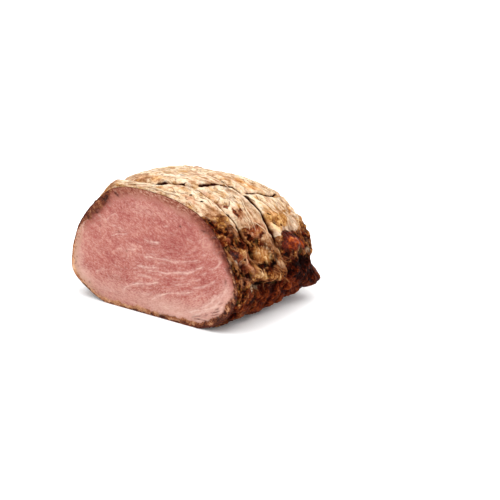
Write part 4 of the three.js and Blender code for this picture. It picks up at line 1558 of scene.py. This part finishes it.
@dataclass(frozen=True)
class RoastedSkin:
    """Roasted beef fat and browned meat, as the oven leaves it: dull crust, and fat that shines where it ran.

    The eye sees a soft creamy cap, since light enters the fat, beside a crust that is dark in its crevices. The colour
    also paints shade into the hollows of the relief and light onto its crests. The IOR is that of beef fat. The real
    grit and fine grain, a few tenths of a millimetre, are too fine to show in the render, so they are drawn as coarse
    as they need to show.
    """

    fat: Stops = (
        (0.1, "#774c2b"), (0.3, "#a8815c"), (0.5, "#ccb193"), (0.7, "#ddc8ac"), (0.92, "#f0e3cf"))
    fat_golden: str = "#b98a50"
    fat_pink: str = "#b98a74"
    fat_speck: str = "#70401f"
    # Wrinkle lines: partly brown in the fat, partly painted shade in its creases
    fat_wrinkle_shade: str = "#50301a"
    tan: Stops = ((0.2, "#532a12"), (0.45, "#865637"), (0.6, "#a87854"), (0.8, "#cba581"))
    golden: Stops = ((0.2, "#6b3611"), (0.45, "#a06534"), (0.6, "#c08a52"), (0.8, "#debb8c"))
    pink: Stops = ((0.25, "#6f2f1a"), (0.5, "#9a5537"), (0.8, "#c08d6c"))
    crust: Stops = (
        (0.17, "#0e0100"), (0.36, "#2c0a02"), (0.52, "#56240c"), (0.68, "#7c451c"), (0.84, "#9d6736"), (1.0, "#c59a6a"))
    crust_red: str = "#5c1605"
    crust_olive: str = "#6d5525"
    toast: Stops = ((0.22, "#3c1503"), (0.44, "#784018"), (0.6, "#a06c35"), (0.82, "#cfa468"))
    pale: Stops = ((0.2, "#73573f"), (0.42, "#9d7e63"), (0.6, "#bd9e82"), (0.8, "#dec8af"))
    ruddy: Stops = ((0.25, "#170100"), (0.5, "#430d03"), (0.8, "#823a18"))
    amber: Stops = ((0.2, "#260500"), (0.42, "#651c03"), (0.62, "#a3440a"), (0.88, "#dc9138"))
    char: Stops = ((0.3, "#050000"), (0.55, "#1c0300"), (0.75, "#451203"), (0.92, "#76370f"))
    strand: str = "#9a663f"
    fat_strand: str = "#dcc8a8"
    # Painted shade along one side of each strand
    strand_side_shade: str = "#57280f"
    # Colours of the splits and the brown halo round them: partly their roasted inside, partly painted shade
    split: str = "#240400"
    split_thin_shade: str = "#4f2a10"
    roughness: float = 0.48
    ior: float = 1.46
    shine: float = 0.012
    subsurface: float = 0.12
    subsurface_radius_mm: Triple = (2.0, 0.9, 0.4)
    coat_roughness: float = 0.16
    streak_mm: Triple = (8.0, 8.0, 3.6)
    wrinkle_mm: Triple = (15.0, 15.0, 6.5)
    fleck_mm: float = 2.3
    clump_mm: float = 3.0
    shred_mm: Triple = (6.5, 6.5, 1.7)
    patch_mm: float = 11.0
    hue_mm: float = 6.5
    fine_mm: float = 1.0
    grit_mm: float = 1.9
    bump_mm: float = 1.1

    def dress(self) -> bpy.types.Material:
        """Makes the material.

        Returns:
            The material, which reads the skin's masks.
        """
        own = ("cavity", *(f"{kind}_{part}" for kind in ("seam", "hoop", "strand") for part in ("offset", "width")))
        make = Recipe("roasted_fat_and_crust", (*(zone.value for zone in Zone), *own))
        mask, space = make.mask, make.add("TexCoord", output="Object")
        roll = make.add("Attribute", output="Vector", attribute_name="roll")
        streak = make.grown(roll, self.streak_mm, 4)
        crease = make.grown(roll, self.wrinkle_mm, 3, 0.6, shift=31.0)
        fleck = make.grown(space, self.fleck_mm, 4, 0.65)
        clump = make.grown(space, self.clump_mm, 5, 0.65, shift=12.0)
        shred = make.grown(roll, self.shred_mm, 3, 0.6, shift=7.0)
        patch = make.grown(space, self.patch_mm, 4, shift=4.0)
        hue = make.grown(space, self.hue_mm, 4, 0.6, shift=83.0)
        fine = make.grown(space, self.fine_mm, 3, 0.6)
        grit = make.grown(space, self.grit_mm, 3, 0.7, shift=19.0)
        # The relief's hollows and crests, from which the tones below paint shade and light
        hollow = make.add("Clamp", mask["cavity"], -1.6, 1.6)

        # The fat: cream to tan, streaked the way it was drawn tight, with fine wrinkles and toasted specks; the wrinkle
        # lines are partly painted shade in their creases, and the fat's hollows are painted darker and its crests
        # lighter
        tone = make.total(0.49, (streak, 1.3), (fleck, 0.7), (patch, 1.0), (fine, 0.5), (hollow, 0.2))
        wrinkles = make.step(make.add("Math", make.total(0.0, (crease, 1.0)), operation="ABSOLUTE"), 0.035, 0.006)
        fat = make.over(
            make.add("ValToRGB", tone, stops=self.fat),
            (self.fat_golden, make.step(hue, 0.54, 0.66, 0.55)),
            (self.fat_pink, make.step(hue, 0.45, 0.36, 0.5)),
            (self.fat_wrinkle_shade, make.add("Math", wrinkles, make.step(patch, 0.36, 0.56, 0.55), operation="MULTIPLY")),
            (self.fat_speck, make.step(make.total(0.5, (fleck, 1.0), (hue, 0.7)), 0.66, 0.78, 0.8)))
        soft_tone = make.total(0.52, (streak, 1.1), (patch, 0.8), (fleck, 0.8), (fine, 0.3), (hollow, 0.15))
        # The crust: near black in its crevices, red-brown between, toasted gold on its crags; its hollows are painted
        # darker and its crests lighter, as painted shade and painted light
        tone = make.total(0.44, (clump, 1.1), (shred, 1.3), (grit, 1.7), (fine, 0.6), (patch, 0.7), (hollow, 0.26))
        crust = make.over(
            make.add("ValToRGB", tone, stops=self.crust),
            (self.crust_red, make.step(hue, 0.52, 0.62, 0.45)),
            (self.crust_olive, make.step(hue, 0.46, 0.36, 0.22)))
        rough_tone = make.total(0.5, (clump, 1.2), (grit, 1.0), (fine, 0.5), (hollow, 0.18))
        # Dark lines along the splits of the seams and hoops: partly the roasted inside, partly painted shade in the
        # splits
        wide, narrow = (
            make.add("Math", make.line("seam", *limits), make.line("hoop", *limits), operation="MAXIMUM")
            for limits in ((1.2, 0.6), (1.7, 0.8)))
        # The second line, drawn beside each strand, is painted shade
        strand, gap = (make.line("strand", 1.5, 0.7, shift) for shift in (0.0, 0.75))
        open_by = make.step(make.add("Math", mask["seam_width"], mask["hoop_width"], operation="MAXIMUM"), 0.32, 0.55)
        splits = make.add("Math", wide, open_by, operation="MULTIPLY")
        colour = make.over(
            crust,
            (fat, make.patch("fat", fleck)),
            ((soft_tone, self.tan), make.soft("tan", patch, 0.9)),
            ((soft_tone, self.golden), make.soft("golden", patch, 0.9)),
            ((soft_tone, self.pink), make.soft("pink", fleck, 0.85)),
            # The pale layer is silverskin and, in a few spots, painted highlight
            ((soft_tone, self.pale), make.soft("pale", patch, 0.9)),
            ((rough_tone, self.toast), make.patch("toasted", clump, 0.8)),
            ((rough_tone, self.ruddy), make.patch("ruddy", clump, 0.95)),
            # The glaze, lighter and more orange where its mask is strong: partly painted highlight
            ((make.total(0.11, (mask["amber"], 0.34), (clump, 1.1), (fine, 0.5)), self.amber),
             make.patch("amber", clump)),
            (make.over(linear_colour(self.strand), (self.fat_strand, mask["fat"])), make.total(0.0, (strand, 0.55))),
            (self.strand_side_shade, make.total(0.0, (gap, 0.5))),
            ((rough_tone, self.char), make.patch("charred", clump)),
            (self.split_thin_shade, make.total(0.0, (narrow, 0.75))),
            (self.split, splits))

        bare = make.add("Math", 1.0, mask["fat"], operation="SUBTRACT", use_clamp=True)
        rough = make.total(self.roughness, (fine, 0.5), (clump, 0.4), (mask["wet"], -0.3))
        beads = make.add("Math", make.step(fine, 0.63, 0.7, 0.4), bare, operation="MULTIPLY")
        coat = make.add("Math", make.total(0.0, (mask["wet"], 0.4), (beads, 1.0)), splits,
                        operation="SUBTRACT", use_clamp=True)
        fat_relief = make.total(0.0, (streak, 0.9), (fleck, 0.5), (wrinkles, -0.3), (fine, 0.25))
        crust_relief = make.total(0.0, (clump, 1.2), (shred, 0.7), (grit, 1.2), (fine, 0.4))
        relief = make.add("Mix", named={0: mask["fat"], 2: crust_relief, 3: fat_relief}, data_type="FLOAT")
        return make.finish({
            "Base Color": colour,
            "Roughness": make.add("Math", rough, 0.12, operation="MAXIMUM"),
            "IOR": self.ior,
            "Specular IOR Level": self.shine,
            "Subsurface Weight": make.total(0.0, (mask["fat"], self.subsurface)),
            "Subsurface Radius": tuple(n * MM for n in self.subsurface_radius_mm),
            "Subsurface Scale": 1.0,
            "Coat Weight": coat,
            "Coat Roughness": self.coat_roughness,
            "Normal": make.add("Bump", 1.0, self.bump_mm * MM, named={"Height": relief}),
        })


@dataclass(frozen=True)
class CutMeat:
    """Cooked beef, freshly sliced across: moist and faintly see-through, pink inside and grey-brown at its rim.

    The eye sees a soft sheen and streaks along the grain. The IOR is that of moist meat. The real fibres, about
    0.1 mm thick, are too fine to show in the render, so they are drawn as coarse as they need to show.
    """

    pink: Stops = ((0.1, "#89403a"), (0.5, "#a8635a"), (0.9, "#c79485"))
    pale: str = "#c99f91"
    vein: str = "#dcc0b2"
    cooked: Stops = ((0.1, "#b88e79"), (0.4, "#996351"), (0.75, "#7c3e2d"), (1.0, "#5f2719"))
    crust: Stops = (
        (0.1, "#220a03"), (0.28, "#5f2a13"), (0.44, "#875034"), (0.6, "#af7b57"), (0.8, "#cb9d7a"), (0.98, "#dfbe9c"))
    rim: str = "#451509"
    redder: str = "#95443d"
    speck: str = "#3a140c"
    # Gaps between strands: partly crust, partly painted shade in the clefts
    gap: str = "#552012"
    roughness: float = 0.42
    ior: float = 1.4
    shine: float = 0.12
    subsurface: float = 0.2
    subsurface_radius_mm: Triple = (2.6, 0.9, 0.7)
    coat: float = 0.02
    coat_roughness: float = 0.25
    fleck_mm: Triple = (2.0, 0.95, 0.9)
    fibre_mm: float = 0.8
    mottle_mm: float = 2.6
    blotch_mm: float = 5.0
    bump_mm: float = 0.4

    def dress(self) -> bpy.types.Material:
        """Makes the material.

        Returns:
            The material, which reads the cut face's masks.
        """
        ways = tuple(f"grain_{number}" for number in range(len(GRAIN_WAYS)))
        make = Recipe("cut_roast_beef", (
            "cooked", "browning", "crusted", "crust_dark", "crust_mottled", "vein", "gap", "streak", "broad_streak",
            "ruddy_face", "paler", "redder", "specks", "rim_dark", *ways))
        mask, space = make.mask, make.add("TexCoord", output="Object")
        fibre = make.grown(space, self.fibre_mm, 3, 0.6)
        mottle = make.grown(space, self.mottle_mm, 3)
        blotch = make.grown(space, self.blotch_mm, 3, 0.6, shift=5.0)
        flecks = 0.0
        for number, (way, angle) in enumerate(zip(ways, GRAIN_WAYS)):
            drawn = make.grown(space, self.fleck_mm, 3, 0.5, 13.0 * number, math.radians(-angle))
            drawn = make.add("Math", drawn, 0.5, operation="SUBTRACT")
            flecks = make.add("Math", drawn, mask[way], flecks, operation="MULTIPLY_ADD")
        tone = make.total(0.5, (flecks, 0.6), (fibre, 0.8), (mottle, 0.65), (mask["broad_streak"], 0.11),
                          (mask["ruddy_face"], -0.14))
        done = make.total(-0.2, (mask["browning"], 1.0), (mask["cooked"], 0.3), (mottle, 1.0), (flecks, 1.6))
        rough = make.total(0.0, (mottle, 1.1), (blotch, 0.5), (fibre, 1.4), (mask["streak"], 0.1))
        rough = make.add("Math", rough, mask["crust_mottled"], operation="MULTIPLY")
        skin = make.total(0.58, (rough, 1.0), (blotch, 0.5), (mask["crust_dark"], -1.0))
        torn = make.total(0.0, (mask["crusted"], 1.0), (mottle, 0.6), (fibre, 0.5), (mask["streak"], 0.16))
        colour = make.over(
            make.add("ValToRGB", tone, stops=self.pink),
            (self.redder, make.total(0.0, (mask["redder"], 0.8), (flecks, 0.3))),
            (self.pale, make.total(0.0, (mask["paler"], 0.9), (flecks, 1.3), (fibre, 0.6))),
            ((done, self.cooked), make.total(0.0, (mask["cooked"], 1.0))),
            (self.vein, make.total(0.0, (mask["vein"], 0.75))),
            ((skin, self.crust), make.step(torn, 0.25, 0.85)),
            (self.rim, make.step(make.total(0.0, (mask["rim_dark"], 1.0), (mottle, 1.4)), 0.35, 0.7, 0.9)),
            (self.gap, make.total(0.0, (mask["gap"], 0.95))),
            (self.speck, make.total(0.0, (mask["specks"], 1.0))))
        dull = make.total(self.roughness, (fibre, 0.6), (mask["cooked"], 0.1))
        relief = make.total(0.0, (fibre, 0.8), (flecks, 0.8), (mask["vein"], 0.1), (mask["gap"], -0.6))
        return make.finish({
            "Base Color": colour,
            "Roughness": dull,
            "IOR": self.ior,
            "Specular IOR Level": self.shine,
            "Subsurface Weight": self.subsurface,
            "Subsurface Radius": tuple(n * MM for n in self.subsurface_radius_mm),
            "Subsurface Scale": 1.0,
            "Coat Weight": self.coat,
            "Coat Roughness": self.coat_roughness,
            "Normal": make.add("Bump", 1.0, self.bump_mm * MM, named={"Height": relief}),
        })


# The joint


@dataclass
class RoastBeefJoint:
    """The whole joint as one closed mesh: skin, pole and cut face."""

    form: JointForm = field(default_factory=JointForm)
    skin_marks: SkinMarks = field(default_factory=SkinMarks)
    face_marks: FaceMarks = field(default_factory=FaceMarks)
    relief: FineRelief = field(default_factory=FineRelief)
    face_sizes: CutFaceSizes = field(default_factory=CutFaceSizes)
    top_spacing: float = 0.85
    left_spacing: float = 1.25
    under_spacing: float = 2.1
    row_spacing: float = 0.82
    row_crowding: float = 0.9
    row_crowd_reach: float = 2.5
    edge_crowding: float = 1.5
    edge_reach: float = 2.0
    top_ways: Four = (50, 80, 239, 253)
    under_ways: Four = (243, 265, 348, 368)
    last_gap: float = 0.6
    meridian_steps: int = 6000
    sharp_degrees: float = 65.0

    def columns(self) -> Array:
        """Spaces the mesh's columns, closest where most shows.

        Returns:
            Their ways round the outline.
        """
        places, a = [], 0.0
        while a < self.form.outline.girth - self.last_gap * self.left_spacing:
            places.append(a)
            top, under = (plateau(np.array(a), *ways) for ways in (self.top_ways, self.under_ways))
            a += float(self.left_spacing + (self.top_spacing - self.left_spacing) * top
                       + (self.under_spacing - self.left_spacing) * under)
        return np.array(places)

    def rows(self) -> Array:
        """Spaces the mesh's rows, evenly over the form and closest beside the hoops.

        Returns:
            Their places along the length.
        """
        form = self.form
        radius = form.outline.girth / (2 * math.pi)
        s = form.length * (1 - (1 - np.linspace(0, 1, self.meridian_steps)) ** 3)
        inward = radius * -np.diff(form.end_share(s / form.length, form.end_wide))
        crowd = sum(bell(s - hoop.at, self.row_crowd_reach) for hoop in form.hoops)[1:]
        closer = 1 + self.row_crowding * crowd + self.edge_crowding * bell(s[1:], self.edge_reach)
        ways = np.concatenate([[0], np.cumsum(np.hypot(np.diff(s), inward) * closer)])
        count = round(ways[-1] / self.row_spacing)
        return np.interp(np.arange(count) * ways[-1] / count, ways, s)

    def to_row_frame(self, points: Array) -> Array:
        """Moves points from the form's millimetres to the part's own frame in metres.

        Args:
            points: Points with x, y, z last.

        Returns:
            The same points in metres, where the part's solid has them.
        """
        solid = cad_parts[NODE].data.vertices
        places = np.zeros(len(solid) * 3)
        solid.foreach_get("co", places)
        places = places.reshape(-1, 3)
        pole = places[places[:, 1].argmax()]
        shift = pole / MM - np.array([self.form.axis_x, self.form.length, self.form.pole_z])
        return (points + shift) * MM

    def build(self) -> bpy.types.Object:
        """Builds and dresses the joint.

        Returns:
            The object.
        """
        columns, rows = self.columns(), self.rows()
        skin = SkinSurface(self.form, self.skin_marks, self.relief, columns, rows)
        LOG.info("skin: %d rows of %d", len(rows), len(columns))
        face = CutFace(self.form, self.face_marks, self.face_sizes, skin.points[0])
        LOG.info("cut face: %d points", len(face.inner_points))

        count, last = len(columns), len(rows) * len(columns)
        pole = np.array([[self.form.axis_x, self.form.length, self.form.pole_z]])
        points = np.vstack([skin.points.reshape(-1, 3), pole, face.inner_points])
        grid = np.arange(last).reshape(len(rows), count)
        beside = np.roll(grid, -1, axis=1)
        quads = np.stack([grid[:-1], beside[:-1], beside[1:], grid[1:]], -1).reshape(-1, 4)
        fan = np.stack([grid[-1], beside[-1], np.full(count, last)], -1)
        cut = np.where(face.triangles < count, face.triangles, face.triangles - count + last + 1)
        mesh = bpy.data.meshes.new("roast_beef_joint")
        mesh.from_pydata(self.to_row_frame(points).tolist(), [], quads.tolist() + fan.tolist() + cut.tolist())
        mesh.update()
        LOG.info("mesh: %d triangles", 2 * len(quads) + len(fan) + len(cut))

        masks = {name: ((0, values.reshape(-1)),) for name, values in skin.masks.items()}
        masks.update({name: ((0, values[:count]), (last + 1, values[count:])) for name, values in face.masks.items()})
        for name, parts in masks.items():
            whole = np.zeros(len(points))
            for start, values in parts:
                whole[start : start + len(values)] = values
            mesh.attributes.new(name, "FLOAT", "POINT").data.foreach_set("value", whole)
        roll = np.zeros((len(points), 3))
        roll[:last] = skin.flowing().reshape(-1, 3) * MM
        mesh.attributes.new("roll", "FLOAT_VECTOR", "POINT").data.foreach_set("vector", roll.reshape(-1))

        mesh.materials.append(RoastedSkin().dress())
        mesh.materials.append(CutMeat().dress())
        slots = np.zeros(len(mesh.polygons), np.int32)
        slots[len(quads) + len(fan) :] = 1
        mesh.polygons.foreach_set("material_index", slots)
        mesh.polygons.foreach_set("use_smooth", np.ones(len(mesh.polygons), bool))
        mesh.set_sharp_from_angle(angle=math.radians(self.sharp_degrees))
        joint = put_in_scene(bpy.data.objects.new("roast_beef_joint", mesh))
        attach(joint, BODY)
        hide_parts(NODE)
        LOG.info("roast_beef_joint is in place")
        return joint


# The studio


@dataclass(frozen=True)
class SoftLight:
    """One large soft light: where it stands, how wide it is and how strong."""

    name: str
    place: Triple
    width: float
    power: float


@dataclass(frozen=True)
class Studio:
    """White ground, soft light and the camera.

    The ground is matt white paper, which takes soft shadows and shows no highlight. It glows a little, as paper that is
    lit from all round does.
    """

    camera_place: Triple = (0.5730, -0.7365, 0.3514)
    camera_azimuth: float = 36.0
    camera_elevation: float = 19.0
    lens: float = 100.0
    sensor: float = 36.0
    clip: Pair = (0.01, 50.0)
    floor_glow: float = 0.05
    floor_radius: float = 4.0
    floor_corners: int = 96
    floor_colour: str = "#ffffff"
    floor_roughness: float = 0.9
    floor_shine: float = 0.1
    world_strength: float = 0.62
    seen_world_strength: float = 1.05
    lights_aim: Triple = (0.0, 0.0, 0.04)
    lights: tuple[SoftLight, ...] = (
        SoftLight("overhead", (0.0, 0.0, 1.3), 2.2, 26.5),
        SoftLight("front", (-0.3, -1.0, 0.9), 1.0, 4.2),
        SoftLight("back_right", (0.8, 0.4, 0.8), 0.7, 5.0),
    )

    @staticmethod
    def facing(place: Vector, aim: Vector) -> Matrix:
        """Stands a camera or a light at a place, facing along a direction."""
        return Matrix.Translation(place) @ aim.to_track_quat("-Z", "Y").to_matrix().to_4x4()

    def place_camera(self) -> None:
        """Puts the camera where the photograph was taken from."""
        data = bpy.data.cameras.new("camera")
        data.lens, data.sensor_width = self.lens, self.sensor
        data.clip_start, data.clip_end = self.clip
        camera = put_in_scene(bpy.data.objects.new("camera", data))
        a, e = math.radians(self.camera_azimuth), math.radians(self.camera_elevation)
        back = Vector((math.sin(a) * math.cos(e), -math.cos(a) * math.cos(e), math.sin(e)))
        camera.matrix_world = self.facing(Vector(self.camera_place), -back)
        bpy.context.scene.camera = camera

    def lay_floor(self) -> None:
        """Lays the white ground."""
        corners = self.floor_corners
        ring = [(math.cos(t) * self.floor_radius, math.sin(t) * self.floor_radius, 0.0)
                for t in (2 * math.pi * n / corners for n in range(corners))]
        mesh = bpy.data.meshes.new("floor")
        mesh.from_pydata(ring, [], [list(range(corners))])
        mesh.materials.append(Recipe("matt_white_paper").finish({
            "Base Color": linear_colour(self.floor_colour),
            "Roughness": self.floor_roughness,
            "Specular IOR Level": self.floor_shine,
            "Emission Color": linear_colour(self.floor_colour),
            "Emission Strength": self.floor_glow,
        }))
        put_in_scene(bpy.data.objects.new("floor", mesh))

    def light(self) -> None:
        """Hangs the lights and sets the white surroundings."""
        for each in self.lights:
            data = bpy.data.lights.new(each.name, "AREA")
            data.shape, data.size, data.energy = "DISK", each.width, each.power
            lamp = put_in_scene(bpy.data.objects.new(each.name, data))
            lamp.matrix_world = self.facing(Vector(each.place), Vector(self.lights_aim) - Vector(each.place))
        world = bpy.data.worlds.new("studio")
        world.use_nodes = True
        tree = world.node_tree
        tree.nodes.clear()
        seen = add_node(tree, "LightPath", output="Is Camera Ray")
        strength = add_node(tree, "MapRange", seen, 0.0, 1.0, self.world_strength, self.seen_world_strength)
        add_node(tree, "OutputWorld", add_node(tree, "Background", (1, 1, 1, 1), strength))
        bpy.context.scene.world = world
        bpy.context.scene.view_settings.view_transform = "Standard"


def main() -> None:
    """Builds the studio and the joint, in order."""
    logging.basicConfig(level=logging.INFO, format="%(name)s: %(message)s")
    studio = Studio()
    studio.place_camera()
    studio.lay_floor()
    studio.light()
    RoastBeefJoint().build()


if __name__ == "__main__":
    main()
